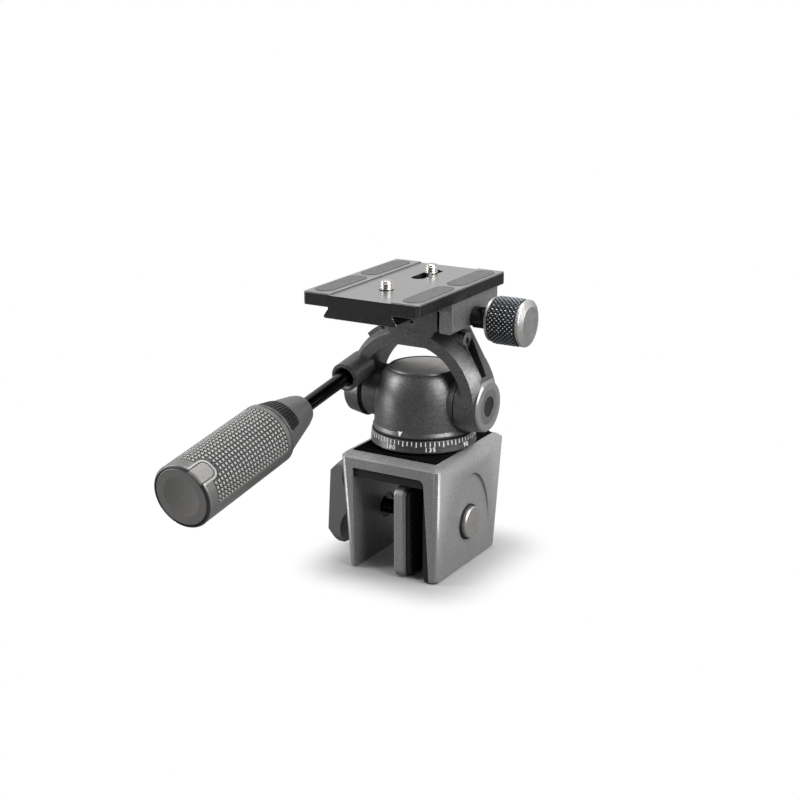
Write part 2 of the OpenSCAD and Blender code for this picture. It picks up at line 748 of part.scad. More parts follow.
module socket_ring() color([0.3, 0.3, 0.31]) {
    on_handle() difference() {
        translate([0, 0, -3.5]) cylinder(r = socket_r - 0.8, h = 3.5);
        translate([0, 0, -4]) cylinder(r = socket_bore_r, h = 10);
        translate([0, 0, -0.8]) cylinder(r1 = socket_bore_r, r2 = socket_bore_r + 0.9, h = 0.81);
    }
}

module clamp_base() color([0.3, 0.3, 0.31]) {
    difference() {
        push_y(base_l) polygon([[-base_left, z_seat + 6], [-block_top + 1, z_seat], [base_right, z_seat],
            [base_right, z_floor],
            [-foot_half - 0.4, z_floor], [-foot_half - 0.4, z_flange - 3.85], [-neck_half - 0.5, z_flange - 0.98],
            [-neck_half - 0.5, lip_z - 0.4], [-neck_half - 0.9, lip_z], [-base_left + 0.8, lip_z],
            [-base_left, lip_z - 0.8]]);
        for (s = [0, 1]) {
            mirror([0, s, 0]) push_x(-scoop_w / 2, scoop_w / 2) polygon([[-base_l, z_seat + 1.5],
                [-base_l / 2 + 3, z_seat + 2.6], [-scoop_wall, z_floor - 2.6], [-scoop_wall, z_floor + 1],
                [-base_l, z_floor + 1]]);
        }
        bar_x(lead_r + run, lead_in - 4.6, base_right + 1, 0, knob_z);
        for (s = [-1, 1]) {
            bar_x(guide_r + run, base_right - 14, base_right + 1, s * guide_y, knob_z + 1);
            translate([yoke_x, s * 8, z_seat - 1]) cylinder(r = 2 + seat, h = base_t + 2);
            translate([yoke_x, s * 8, z_floor - 2.4]) cylinder(r = 3.8, h = 5);
        }
    }
}

module base_screws() color([0.6, 0.6, 0.62]) {
    for (s = [-1, 1]) {
        translate([yoke_x, s * 8, 0]) {
            translate([0, 0, z_seat - 6]) cylinder(r = 2, h = base_t + 6 - 2.4 + 2 * seat);
            translate([0, 0, z_floor - 2.4 + seat]) cylinder(r = 3.6, h = 2.2);
        }
    }
}

module lock_plunger() color([0.6, 0.6, 0.62]) {
    on_handle() translate([0, 0, tip_s - plunger_clear - plunger_l]) cylinder(r = plunger_r, h = plunger_l);
}

module release_jaw() color([0.3, 0.3, 0.31]) {
    low = z_seat - 0.7;
    difference() {
        push_y(base_l) polygon([[qr_in, low + 0.6], [qr_in + 0.6, low], [qr_out - 1, low], [qr_out, low + 1],
            [qr_out, lip_z - 0.8], [qr_out - 0.8, lip_z], [neck_half + 1.14, lip_z], [neck_half + 0.74, lip_z - 0.4],
            [neck_half + 0.74, z_flange - 1.05], [qr_in - 0.26, z_floor + gap], [qr_in, z_floor + gap]]);
        bar_x(lead_r + 0.25, qr_in - 5, qr_out + 1, 0, knob_z);
        for (s = [-1, 1]) {
            bar_x(guide_r + seat, qr_in - 5, qr_in + 4, s * guide_y, knob_z + 1);
        }
    }
}

module jaw_guide_pins() color([0.66, 0.67, 0.69]) {
    for (s = [-1, 1]) {
        bar_x(guide_r, base_right - 8, qr_in + 4 - seat, s * guide_y, knob_z + 1);
    }
}

module lead_screw() color([0.12, 0.12, 0.12]) {
    bar_x(lead_r, lead_in, qr_out + 1, 0, knob_z);
    bar_x(collar_r, qr_out + face_gap, qr_out + 5.5, 0, knob_z);
    bar_x(collar_r - 0.5, qr_out + 5.4, knob_in, 0, knob_z);
    bar_x(lead_r, knob_in - 1, sleeve_out - 3, 0, knob_z);
}

module knob_core() color([0.42, 0.42, 0.42]) {
    difference() {
        union() {
            bar_x(knob_r - 1, knob_in + seat, sleeve_in, 0, knob_z);
            bar_x(core_r, sleeve_in - eps, sleeve_out - seat, 0, knob_z);
        }
        bar_x(lead_r + seat, knob_in - 1, sleeve_out - 3 + gap, 0, knob_z);
    }
}

// Star outline whose tips, pushed along with a twist each way, cross into a diamond knurl
module knurl_star() {
    polygon([for (i = [0:2 * knurls - 1]) let (a = 180 * i / knurls, r = i % 2 == 0 ? knob_r : knob_r - 1.1)
        [r * cos(a), r * sin(a)]]);
}

module knob_sleeve() color([0.07, 0.07, 0.08]) {
    turn = knob_l * 180 / (PI * knob_r);
    translate([sleeve_in, 0, knob_z]) rotate([0, 90, 0]) difference() {
        intersection() {
            linear_extrude(knob_l, twist = turn, slices = 5) knurl_star();
            linear_extrude(knob_l, twist = -turn, slices = 5) knurl_star();
            union() {
                cylinder(r1 = knob_r - 1.3, r2 = knob_r + 0.1, h = 1.6, $fn = 48);
                translate([0, 0, 1.6]) cylinder(r = knob_r + 0.1, h = knob_l - 2.2, $fn = 48);
                translate([0, 0, knob_l - 0.6]) cylinder(r1 = knob_r + 0.1, r2 = knob_r - 0.6, h = 0.6, $fn = 48);
            }
        }
        translate([0, 0, -1]) cylinder(r = core_r + seat, h = knob_l + 2, $fn = 48);
    }
}

module knob_cap() color([0.55, 0.54, 0.52]) {
    translate([sleeve_out, 0, knob_z]) rotate([0, 90, 0]) {
        cylinder(r = knob_r - 1.1, h = cap_neck + eps);
        translate([0, 0, cap_neck]) rotate_extrude() polygon([[0, 0], [knob_r - 0.6, 0], [knob_r - 0.25, 0.35],
            [knob_r - 0.25, cap_l - 1.5], [knob_r - 0.5, cap_l - 1.2], [knob_r - 3.4, cap_l], [0, cap_l]]);
    }
}

module plate_outline() {
    c = 0.5;
    w = plate_w / 2;
    r = recess_w / 2;
    side = concat([[foot_half - 0.9, z_plate]], arc(foot_half - 0.9, z_plate + 0.9, 0.9, -90, 37, 4),
        [[neck_half, z_flange - 0.9], [neck_half, z_flange], [w - c, z_flange], [w, z_flange + c], [w, z_top - c], [w - c, z_top], [r, z_top], [r, z_recess]]);
    polygon(concat(side, [for (i = [len(side) - 1:-1:0]) [-side[i][0], side[i][1]]]));
}

module obround(from, to, r) {
    hull_free = to - from;
    translate([-r, from]) square([2 * r, hull_free]);
    for (y = [from, to]) {
        translate([0, y]) circle(r);
    }
}

module plate_pad_outlines(margin = 0) {
    for (sx = [-1, 1], sy = [-1, 1]) {
        translate([sx * plate_pad_x, sy * plate_pad_y]) {
            half = plate_pad_l / 2 - plate_pad_w / 2;
            obround(-half, half, plate_pad_w / 2 - margin);
        }
    }
}

module camera_plate() color([0.09, 0.09, 0.1]) {
    c = 1.1;
    w = plate_w / 2;
    l = plate_l / 2;
    translate([0, plate_y, 0]) difference() {
        intersection() {
            push_y(plate_l + 1) plate_outline();
            linear_extrude(z_top + 5) polygon([[-w + c, -l], [w - c, -l], [w, -l + c], [w, l - c], [w - c, l],
                [-w + c, l], [-w, l - c], [-w, -l + c]]);
            push_x(-w - 1, w + 1) polygon([[-l, z_plate - 1], [l, z_plate - 1], [l, z_top - 0.5], [l - 0.5, z_top],
                [-l + 0.5, z_top], [-l, z_top - 0.5]]);
        }
        translate([0, 0, z_top - plate_pad_in]) linear_extrude(5) plate_pad_outlines(-seat);
        translate([0, screw_front_y, z_web - 1]) cylinder(r = slot_r, h = 10);
        translate([0, screw_front_y, z_plate - 1]) cylinder(r = head_pocket_r, h = z_web - z_plate + 1);
        translate([0, 0, z_web - 1]) linear_extrude(10) obround(slot_from, slot_to, slot_r);
        translate([0, 0, z_plate - 1]) linear_extrude(z_web - z_plate + 1) obround(slot_from, slot_to, head_pocket_r);
        for (s = [-1, 1]) {
            translate([0, s * stop_y, z_plate - 1]) cylinder(r = stop_r + seat, h = 5);
        }
    }
}

module plate_pads() color([0.2, 0.2, 0.2]) {
    translate([0, plate_y, z_top - plate_pad_in + seat])
        linear_extrude(plate_pad_in + plate_pad_proud - seat) plate_pad_outlines();
}

module stop_pins() color([0.6, 0.6, 0.62]) {
    for (s = [-1, 1]) {
        translate([0, plate_y + s * stop_y, z_plate - stop_out]) cylinder(r = stop_r, h = stop_out + 4 - seat);
    }
}

// A captive camera screw: quarter-inch thread, relieved neck and slotted head
module camera_screw(y, head_top) {
    translate([0, plate_y + y, 0]) difference() {
        union() {
            translate([0, 0, z_recess + gap]) cylinder(r = screw_r, h = screw_out - gap - 0.5);
            translate([0, 0, z_recess + screw_out - 0.5]) cylinder(r1 = screw_r, r2 = screw_r - 0.5, h = 0.5);
            translate([0, 0, head_top - eps]) cylinder(r = screw_neck_r, h = z_recess + gap - head_top + 2 * eps);
            translate([0, 0, head_top - screw_head_t]) cylinder(r = screw_head_r, h = screw_head_t);
        }
        translate([-screw_head_r - 1, -0.8, head_top - screw_head_t - 1]) cube([2 * screw_head_r + 2, 1.6, 2.4]);
    }
}

module front_camera_screw() color([0.85, 0.84, 0.8]) {
    camera_screw(screw_front_y, z_web - gap);
}

module slot_washer() color([0.7, 0.7, 0.72]) {
    translate([0, plate_y + screw_rear_y, z_web - face_gap - washer_plate_t]) difference() {
        cylinder(r = head_pocket_r - 0.4, h = washer_plate_t);
        translate([0, 0, -1]) cylinder(r = screw_neck_r + run, h = 5);
    }
}

module rear_camera_screw() color([0.85, 0.84, 0.8]) {
    camera_screw(screw_rear_y, z_web - 2 * face_gap - washer_plate_t);
}

module handle_rod() color([0.03, 0.03, 0.03]) {
    on_handle() {
        translate([0, 0, shoulder_s + gap]) cylinder(r = rod_r, h = collar_s - seat - shoulder_s - gap);
        translate([0, 0, tip_s]) cylinder(r = tip_r, h = shoulder_s - tip_s + 2 * gap);
    }
}

// Radius of the neck's taper at a station along the handle
function neck_at(s) = neck_end_r + (neck_big_r - neck_end_r) * (s - neck_s) / (neck_l - collar_t);

module handle_neck() color([0.27, 0.27, 0.26]) {
    s1 = collar_s - collar_t;
    on_handle() difference() {
        rotate_extrude() polygon(concat([[rod_r + seat, neck_s]],
            arc(neck_end_r - 1.6, neck_s + 1.6, 1.6, -90, -15, 5),
            [[neck_big_r, s1], [rod_r + seat, s1]]));
        insert_sector(insert_depth + seat, seat, 5);
    }
}

// The sector of the taper that holds the ribbed insert
module insert_sector(depth, margin, above) {
    rotate([0, 0, insert_mid - insert_half]) rotate_extrude(angle = 2 * insert_half)
        polygon([[neck_at(insert_s - margin) - depth, insert_s - margin],
            [neck_at(insert_s + insert_l + margin) - depth, insert_s + insert_l + margin],
            [neck_at(insert_s + insert_l + margin) + above, insert_s + insert_l + margin],
            [neck_at(insert_s - margin) + above, insert_s - margin]]);
}

module ribbed_insert() color([0.06, 0.06, 0.06]) {
    ribs = 17;
    on_handle() {
        insert_sector(insert_depth, -seat, -0.35);
        for (i = [0:ribs - 1]) {
            a = insert_mid - insert_half + 2 * insert_half * (i + 0.5) / ribs;
            rotate([0, 0, a - 2.2]) rotate_extrude(angle = 4.4)
                polygon([[neck_at(insert_s) - 0.6, insert_s + 0.3],
                    [neck_at(insert_s + insert_l) - 0.6, insert_s + insert_l - 0.3],
                    [neck_at(insert_s + insert_l) + 0.1, insert_s + insert_l - 0.3],
                    [neck_at(insert_s) + 0.1, insert_s + 0.3]]);
        }
    }
}

module grip_collar() color([0.35, 0.35, 0.34]) {
    on_handle() rotate_extrude() polygon([[rod_r + seat, collar_s - collar_t + seat],
        [neck_big_r - 0.3, collar_s - collar_t + seat], [grip_r - 0.2, collar_s - collar_t + 0.6],
        [grip_r - 0.2, collar_s - 0.6], [grip_r - 0.9, collar_s - seat], [rod_r + seat, collar_s - seat]]);
}

module grip_core() color([0.12, 0.12, 0.12]) {
    on_handle() translate([0, 0, collar_s]) cylinder(r = core_in_r, h = grip_l - cap_len);
}

module grip_sleeve() color([0.22, 0.22, 0.21]) {
    on_handle() difference() {
        rotate_extrude() polygon(concat([[core_in_r + seat, collar_s], [grip_r - 0.7, collar_s],
            [grip_r, collar_s + 0.7]], arc(grip_r - end_round, end_s - end_round, end_round, 0, 80, 5),
            [[cap_r1 + gap, end_s - 0.3], [cap_r1 + gap, end_s - cap_len], [core_in_r + seat, end_s - cap_len]]));
        for (turn = [0, 180]) {
            tab_slot(0.45, end_s - tab_l - 0.45, turn);
        }
    }
}

// The slot for one of the cap's two tabs: straight sides, and rounded corners at its far end
module tab_slot(margin, from, turn) {
    r = tab_w / 2 + margin;
    c = tab_corner + margin;
    rotate([0, 0, tab_turn + turn]) translate([grip_r - 1.8, 0, 0]) rotate([90, 0, 90]) linear_extrude(4) {
        translate([-r, from + c]) square([2 * r, end_s + 2 - from - c]);
        translate([-r + c, from]) square([2 * r - 2 * c, 10]);
        for (s = [-1, 1]) {
            translate([s * (r - c), from + c]) circle(c);
        }
    }
}

module end_cap() color([0.25, 0.25, 0.24]) {
    s0 = end_s - cap_len + seat;
    dish_r = grip_r * 0.62;
    dish_d = 0.8;
    ball = (dish_r * dish_r + dish_d * dish_d) / (2 * dish_d);
    on_handle() difference() {
        rotate_extrude() polygon([[0, s0], [cap_r1, s0], [cap_r1, end_s - 0.4], [cap_r1 - 0.4, end_s], [0, end_s]]);
        translate([0, 0, end_s - dish_d + ball]) sphere(ball, $fn = 96);
    }
}

module cap_tab() color([0.5, 0.5, 0.49]) {
    on_handle() for (turn = [0, 180]) {
        intersection() {
            tab_slot(0, end_s - tab_l, turn);
            rotate_extrude() polygon(concat([[cap_r1 + seat, collar_s]], [[grip_r - 0.1, collar_s]],
                arc(grip_r - 0.1 - end_round, end_s - end_round, end_round, 0, 80, 5), [[cap_r1 + seat, end_s - 0.1]]));
        }
    }
}

clamp_body();
top_pad();
bridge_liner();
fixed_jaw_pad();
bore_plug();
plug_seal();
spindle_bush();
scale_ring();
pan_post();
window_jaw();
window_jaw_pad();
jaw_retainer();
clamp_spindle();
wing_knob();
knob_pin();
pan_friction_disc();
head_body();
pan_nut();
top_cap();
cap_ring();
yoke();
axle_right();
axle_left();
axle_plug();
friction_washers();
brass_washer();
arm_screw();
socket_ring();
clamp_base();
base_screws();
lock_plunger();
release_jaw();
jaw_guide_pins();
lead_screw();
knob_core();
knob_sleeve();
knob_cap();
camera_plate();
plate_pads();
stop_pins();
front_camera_screw();
slot_washer();
rear_camera_screw();
handle_rod();
handle_neck();
ribbed_insert();
grip_collar();
grip_core();
grip_sleeve();
end_cap();
cap_tab();
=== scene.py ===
import json
import math
import bmesh
import bpy
import numpy as np
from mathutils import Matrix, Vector

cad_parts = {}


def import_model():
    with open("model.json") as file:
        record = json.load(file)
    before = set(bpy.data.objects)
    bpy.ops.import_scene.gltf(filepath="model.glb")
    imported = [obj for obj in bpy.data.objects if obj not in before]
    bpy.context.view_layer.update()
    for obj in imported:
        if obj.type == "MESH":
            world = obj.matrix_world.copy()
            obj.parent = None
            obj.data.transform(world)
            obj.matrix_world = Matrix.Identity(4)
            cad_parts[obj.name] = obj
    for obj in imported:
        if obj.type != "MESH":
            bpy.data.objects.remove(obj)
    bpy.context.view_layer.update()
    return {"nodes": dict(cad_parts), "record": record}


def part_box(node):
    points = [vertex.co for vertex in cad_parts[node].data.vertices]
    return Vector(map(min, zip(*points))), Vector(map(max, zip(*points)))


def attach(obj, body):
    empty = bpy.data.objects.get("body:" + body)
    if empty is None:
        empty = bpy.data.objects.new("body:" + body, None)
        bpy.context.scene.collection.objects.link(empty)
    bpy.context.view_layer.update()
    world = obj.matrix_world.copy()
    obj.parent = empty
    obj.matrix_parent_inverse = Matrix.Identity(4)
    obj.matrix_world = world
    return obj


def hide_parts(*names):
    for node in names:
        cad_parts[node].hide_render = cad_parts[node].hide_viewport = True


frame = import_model()
nodes = frame["nodes"]
groups = frame["record"]["behaviour"]["bodies"]
body_of = {node: body for body, members in groups.items() for node in members}
slot_of = {part["node"]: part["material_slot"] for part in frame["record"]["subparts"]}
MM = 0.001
scene = bpy.context.scene

# Sizes shared with the part, in millimetres and degrees

Z_FLOOR, Z_SPINDLE = -48.0, -25.0
Z_RING, Z_RING_TOP, Z_AXLE = 13.6, 19.6, 34.7
Z_RECESS, PLATE_Y = 94.0, -16.6
FRONT_SCREW_Y, REAR_SCREW_Y, SCREW_R, SCREW_TOP = -18.2, 23.2, 3.175, 4.4
RING_R, BOSS_X = 25.7, 35.3
KNOB_Z, KNOB_R = 77.4, 11.3
COLLAR_S, END_S, GRIP_R, CORE_R, CAP_R = 66.5, 127.7, 14.8, 11.0, 13.2
TAB_TURN, TAB_W, TAB_L, TAB_GAP = 50.5, 7.5, 9.7, 0.45

# The handle's own axes: HX across, HY up, and HZ along the rod away from the head
DROOP = math.radians(9.1)
HANDLE = Vector((-30.0, -24.5, 45.4))
HX = Vector((1.0, 0.0, 0.0))
HY = Vector((0.0, -math.sin(DROOP), math.cos(DROOP)))
HZ = Vector((0.0, -math.cos(DROOP), -math.sin(DROOP)))

# Grain of the moulded finish in cycles a metre, lathe marks' spacing in metres, and how far in from
# the right boss's face the painted highlight reaches, in millimetres
GRAIN = 1500
LATHE = 0.00028
BOSS_HIGHLIGHT_DEPTH = 0.85


# Materials

def tone(value):
    """Linear value of an sRGB grey from 0 to 255."""
    c = value / 255
    return c / 12.92 if c <= 0.04045 else ((c + 0.055) / 1.055) ** 2.4


def colour(value, warm=0.0):
    """Linear colour of a grey; warm above 0 leans to yellow and below 0 to blue."""
    return (tone(value * (1 + warm)), tone(value), tone(value * (1 - warm)), 1.0)


class Tree:
    """A short way to add nodes to a node tree and to join them."""

    def __init__(self, tree):
        self.tree = tree

    def add(self, kind, **settings):
        made = self.tree.nodes.new(kind)
        for key, value in settings.items():
            setattr(made, key, value)
        return made

    def link(self, out, into):
        self.tree.links.new(out, into)

    def ramp(self, fac, low, high, start=0.3, end=0.7, curve="LINEAR"):
        """low where fac is start, and high where it is end."""
        made = self.add("ShaderNodeMapRange", interpolation_type=curve)
        for key, value in (("From Min", start), ("From Max", end), ("To Min", low), ("To Max", high)):
            made.inputs[key].default_value = value
        self.link(fac, made.inputs["Value"])
        return made.outputs["Result"]


class Nodes(Tree):
    """The nodes of a surface's material; sizes are in millimetres and scales in cycles a metre."""

    def __init__(self, name):
        self.mat = bpy.data.materials.new(name)
        self.mat.use_nodes = True
        super().__init__(self.mat.node_tree)
        self.bsdf = self.tree.nodes["Principled BSDF"]
        self.coords = self.add("ShaderNodeTexCoord")
        self.coord = self.coords.outputs["Object"]

    def noise(self, scale, detail=3.0, rough=0.55, stretch=None):
        made = self.add("ShaderNodeTexNoise")
        for key, value in (("Scale", scale), ("Detail", detail), ("Roughness", rough)):
            made.inputs[key].default_value = value
        source = self.coord
        if stretch:
            mapped = self.add("ShaderNodeMapping")
            mapped.inputs["Scale"].default_value = stretch
            self.link(self.coord, mapped.inputs["Vector"])
            source = mapped.outputs["Vector"]
        self.link(source, made.inputs["Vector"])
        return made.outputs["Fac"]

    def cells(self, scale):
        made = self.add("ShaderNodeTexVoronoi", feature="F1")
        made.inputs["Scale"].default_value = scale
        self.link(self.coord, made.inputs["Vector"])
        return made

    def math(self, kind, a, b=None):
        made = self.add("ShaderNodeMath", operation=kind)
        for socket, value in zip(made.inputs, (a, b)):
            if value is None:
                continue
            if isinstance(value, (int, float)):
                socket.default_value = value
            else:
                self.link(value, socket)
        return made.outputs["Value"]

    def mix(self, fac, a, b):
        made = self.add("ShaderNodeMix", data_type="RGBA")
        for socket, value in ((made.inputs[0], fac), (made.inputs[6], a), (made.inputs[7], b)):
            if isinstance(value, (int, float, tuple)):
                socket.default_value = value
            else:
                self.link(value, socket)
        return made.outputs[2]

    def bump(self, height, strength, distance, normal=None):
        made = self.add("ShaderNodeBump")
        made.inputs["Strength"].default_value = strength
        made.inputs["Distance"].default_value = distance
        self.link(height, made.inputs["Height"])
        if normal is not None:
            self.link(normal, made.inputs["Normal"])
        return made.outputs["Normal"]

    def rounded(self, radius):
        """A normal that rounds sharp edges; radius in millimetres."""
        made = self.add("ShaderNodeBevel", samples=4)
        made.inputs["Radius"].default_value = radius * MM
        return made.outputs["Normal"]

    def edge(self, radius):
        """1 along sharp edges, falling to 0 a short way from them."""
        made = self.add("ShaderNodeBevel", samples=4)
        made.inputs["Radius"].default_value = radius * MM
        geometry = self.add("ShaderNodeNewGeometry")
        dot = self.add("ShaderNodeVectorMath", operation="DOT_PRODUCT")
        self.link(made.outputs["Normal"], dot.inputs[0])
        self.link(geometry.outputs["Normal"], dot.inputs[1])
        return self.ramp(dot.outputs["Value"], 1.0, 0.0, 0.86, 0.995)

    def finish(self, base, rough, metal=0.0, spec=0.5, normal=None):
        for name, value in (("Base Color", base), ("Roughness", rough), ("Metallic", metal)):
            socket = self.bsdf.inputs[name]
            if isinstance(value, (int, float, tuple)):
                socket.default_value = value
            else:
                self.link(value, socket)
        self.bsdf.inputs["Specular IOR Level"].default_value = spec
        if normal is not None:
            self.link(normal, self.bsdf.inputs["Normal"])
        return self.mat


def from_axis(n, origin, direction):
    """Distance of each point from an axis, in metres."""
    at = n.add("ShaderNodeVectorMath", operation="SUBTRACT")
    n.link(n.coord, at.inputs[0])
    at.inputs[1].default_value = [c * MM for c in origin]
    cross = n.add("ShaderNodeVectorMath", operation="CROSS_PRODUCT")
    n.link(at.outputs["Vector"], cross.inputs[0])
    cross.inputs[1].default_value = direction
    far = n.add("ShaderNodeVectorMath", operation="LENGTH")
    n.link(cross.outputs["Vector"], far.inputs[0])
    return far.outputs["Value"]


def grooved(name, low, high, origin, direction, r_low, r_high, rough, metallic, spec=0.5, warm=0.0, peak=0):
    """Knurled or pipped surface with painted light: grey low at radius r_low as painted shade in the
    grooves, high at r_high, and peak a painted highlight on its tips.
    """
    n = Nodes(name)
    # Painted shade: darker towards the groove floor.
    groove_shade = n.ramp(from_axis(n, origin, direction), 0, 1, r_low * MM, r_high * MM)
    grain = n.ramp(n.noise(1600, 3), 0, 0.25)
    body = n.mix(groove_shade, colour(low, warm), colour(high, warm))
    # Painted highlight: the tips above r_high take the grey peak.
    if peak:
        tip_from, tip_to = (r_high + 0.06) * MM, (r_high + 0.15) * MM
        tip_highlight = n.ramp(from_axis(n, origin, direction), 0, 1, tip_from, tip_to)
        body = n.mix(tip_highlight, body, colour(peak, warm))
    body = n.mix(grain, body, shade(high, -0.25, warm))
    roughness = n.ramp(groove_shade, rough + 0.2, rough, 0, 1)
    return n.finish(body, roughness, metallic, spec, normal=n.bump(n.noise(2200, 3), 0.08, 0.00004))


def shade(value, share, warm=0.0):
    """The grey's linear colour, lighter or darker by a share."""
    return colour(max(0.0, value * (1 + share)), warm)


def paint(name, value, metallic, rough, grain, edge):
    """Satin paint with fine metal flake, and a painted highlight along its sharp edges."""
    n = Nodes(name)
    flake = n.cells(2600)
    speck = n.add("ShaderNodeSeparateColor")
    n.link(flake.outputs["Color"], speck.inputs["Color"])
    coarse = n.math("MULTIPLY", speck.outputs[0], 0.55)
    fine = n.math("ADD", coarse, n.math("MULTIPLY", n.noise(900, 4), 0.45))
    body = n.mix(n.ramp(fine, 0, 1, 0.2, 0.8), shade(value, -grain), shade(value, grain))
    cloud = n.ramp(n.noise(55, 3), 0, 0.35, 0.35, 0.75)
    body = n.mix(cloud, body, shade(value, -grain * 0.7))
    # Painted highlight: lighter along sharp edges, by the share edge.
    body = n.mix(n.math("MULTIPLY", n.edge(0.35), edge), body, shade(value, 0.45))
    roughness = n.ramp(n.noise(420, 4), rough - 0.05, rough + 0.06)
    height = n.math("ADD", n.noise(1900, 3), n.math("MULTIPLY", flake.outputs["Distance"], 0.6))
    return n.finish(body, roughness, metallic, normal=n.bump(height, 0.12, 0.00006, n.rounded(0.22)))


def metal(name, value, rough, warm=0.0, turned=None, vary=0.06, edge=0.3, metallic=1.0):
    """Machined metal; turned names the axis and place of its lathe marks."""
    n = Nodes(name)
    if turned:
        axis, centre = turned
        across = [0.0 if axis == k else 1.0 for k in range(3)]
        at = n.add("ShaderNodeVectorMath", operation="SUBTRACT")
        n.link(n.coord, at.inputs[0])
        at.inputs[1].default_value = [c * MM for c in centre]
        flat = n.add("ShaderNodeVectorMath", operation="MULTIPLY")
        n.link(at.outputs["Vector"], flat.inputs[0])
        flat.inputs[1].default_value = across
        far = n.add("ShaderNodeVectorMath", operation="LENGTH")
        n.link(flat.outputs["Vector"], far.inputs[0])
        wave = n.math("SINE", n.math("MULTIPLY", far.outputs["Value"], 2 * math.pi / LATHE))
        marks = n.math("ADD", n.math("MULTIPLY", wave, 0.25), n.noise(1500, 3))
    else:
        marks = n.noise(700, 3, stretch=(1, 6, 1))
    body = n.mix(n.ramp(marks, 0, 1), shade(value, -vary, warm), shade(value, vary, warm))
    # Painted highlight: lighter along sharp edges, by the share edge.
    body = n.mix(n.math("MULTIPLY", n.edge(0.25), edge), body, shade(value, 0.25, warm))
    roughness = n.ramp(n.noise(300, 3), rough - 0.05, rough + 0.05)
    return n.finish(body, roughness, metallic, 0.5, normal=n.bump(marks, 0.1, 0.00003, n.rounded(0.15)))


def plastic(name, value, rough, warm=0.0, vary=0.06, bump=0.1, spec=0.5, edge=0.1):
    """Moulded plastic or rubber with a fine spark-eroded grain."""
    n = Nodes(name)
    body = n.mix(n.ramp(n.noise(GRAIN, 4), 0, 1), shade(value, -vary, warm), shade(value, vary, warm))
    body = n.mix(n.ramp(n.noise(60, 3), 0, 0.4, 0.4, 0.75), body, shade(value, -vary, warm))
    # Painted highlight: lighter along sharp edges, by the share edge.
    body = n.mix(n.math("MULTIPLY", n.edge(0.3), edge), body, shade(value, 0.5, warm))
    roughness = n.ramp(n.noise(GRAIN * 0.5, 3), rough - 0.05, rough + 0.06)
    normal = n.bump(n.noise(GRAIN * 1.4, 3), bump, 0.00005, n.rounded(0.3))
    return n.finish(body, roughness, 0.0, spec, normal=normal)


def anodised(name, side, top, rough):
    """Black anodising, brushed, with painted light: the lit grey top on upward faces, the shaded grey side
    on the walls, and a painted highlight along the edges.
    """
    n = Nodes(name)
    split = n.add("ShaderNodeSeparateXYZ")
    n.link(n.coords.outputs["Normal"], split.inputs[0])
    # Painted light: faces turned up take the lit colour top, and the walls take the shaded colour side.
    lit_top_mask = n.ramp(split.outputs["Z"], 0, 1, 0.6, 0.95)
    brushed = n.noise(500, 3, stretch=(1, 8, 1))
    flat = n.mix(n.ramp(brushed, 0, 1), shade(top, -0.04), shade(top, 0.03))
    shaded_wall = n.mix(n.ramp(brushed, 0, 1), shade(side, -0.05), shade(side, 0.05))
    body = n.mix(lit_top_mask, shaded_wall, flat)
    # Painted highlight: near-white along the edges.
    body = n.mix(n.edge(0.28), body, colour(238))
    patchy = n.ramp(n.noise(300, 3), rough - 0.03, rough + 0.03)
    roughness = n.math("ADD", patchy, n.math("MULTIPLY", lit_top_mask, 0.07))
    return n.finish(body, roughness, 0.92, 0.5, normal=n.bump(brushed, 0.08, 0.00003, n.rounded(0.15)))


def mesh_rubber(name, value, rough):
    """Rubber with a fine diagonal mesh of raised squares."""
    n = Nodes(name)
    split = n.add("ShaderNodeSeparateXYZ")
    n.link(n.coord, split.inputs[0])
    x, y = split.outputs["X"], split.outputs["Y"]
    step = 2 * math.pi / (0.9 * MM)
    a = n.math("SINE", n.math("MULTIPLY", n.math("ADD", x, y), step))
    b = n.math("SINE", n.math("MULTIPLY", n.math("SUBTRACT", x, y), step))
    cell = n.ramp(n.math("MULTIPLY", a, b), 0, 1, -0.4, 0.5)
    # Painted shade between the raised squares and painted light on them.
    body = n.mix(cell, shade(value, -0.55), shade(value, 0.25))
    body = n.mix(n.ramp(n.noise(900, 3), 0, 0.3), body, shade(value, -0.2))
    body = n.mix(n.math("MULTIPLY", n.edge(0.3), 0.8), body, colour(24))
    return n.finish(body, rough, 0.0, 0.25, normal=n.bump(cell, 0.25, 0.0001, n.rounded(0.2)))


def yoke_with_boss_highlight(base):
    """The yoke's paint, with a painted highlight, a lighter grey, on the face of the right boss, picked out
    by its place.
    """
    mat = base.copy()
    mat.name = "yoke_paint"
    tree = mat.node_tree
    bsdf = tree.nodes["Principled BSDF"]
    split = tree.nodes.new("ShaderNodeSeparateXYZ")
    coord = next(node for node in tree.nodes if node.bl_idname == "ShaderNodeTexCoord")
    tree.links.new(coord.outputs["Object"], split.inputs[0])
    # Painted highlight: the right boss's face, lit by the right lamp, takes the lighter grey 158.
    face = tree.nodes.new("ShaderNodeMath")
    face.operation = "GREATER_THAN"
    tree.links.new(split.outputs["X"], face.inputs[0])
    face.inputs[1].default_value = (BOSS_X - BOSS_HIGHLIGHT_DEPTH) * MM
    for name, kind, value, (a, b, out) in (("Base Color", "RGBA", colour(158, 0.004), (6, 7, 2)),
                                           ("Roughness", "FLOAT", 0.42, (2, 3, 0))):
        socket = bsdf.inputs[name]
        old = socket.links[0].from_socket
        mix = tree.nodes.new("ShaderNodeMix")
        mix.data_type = kind
        tree.links.new(face.outputs[0], mix.inputs[0])
        tree.links.new(old, mix.inputs[a])
        mix.inputs[b].default_value = value
        tree.links.new(mix.outputs[out], socket)
    return mat


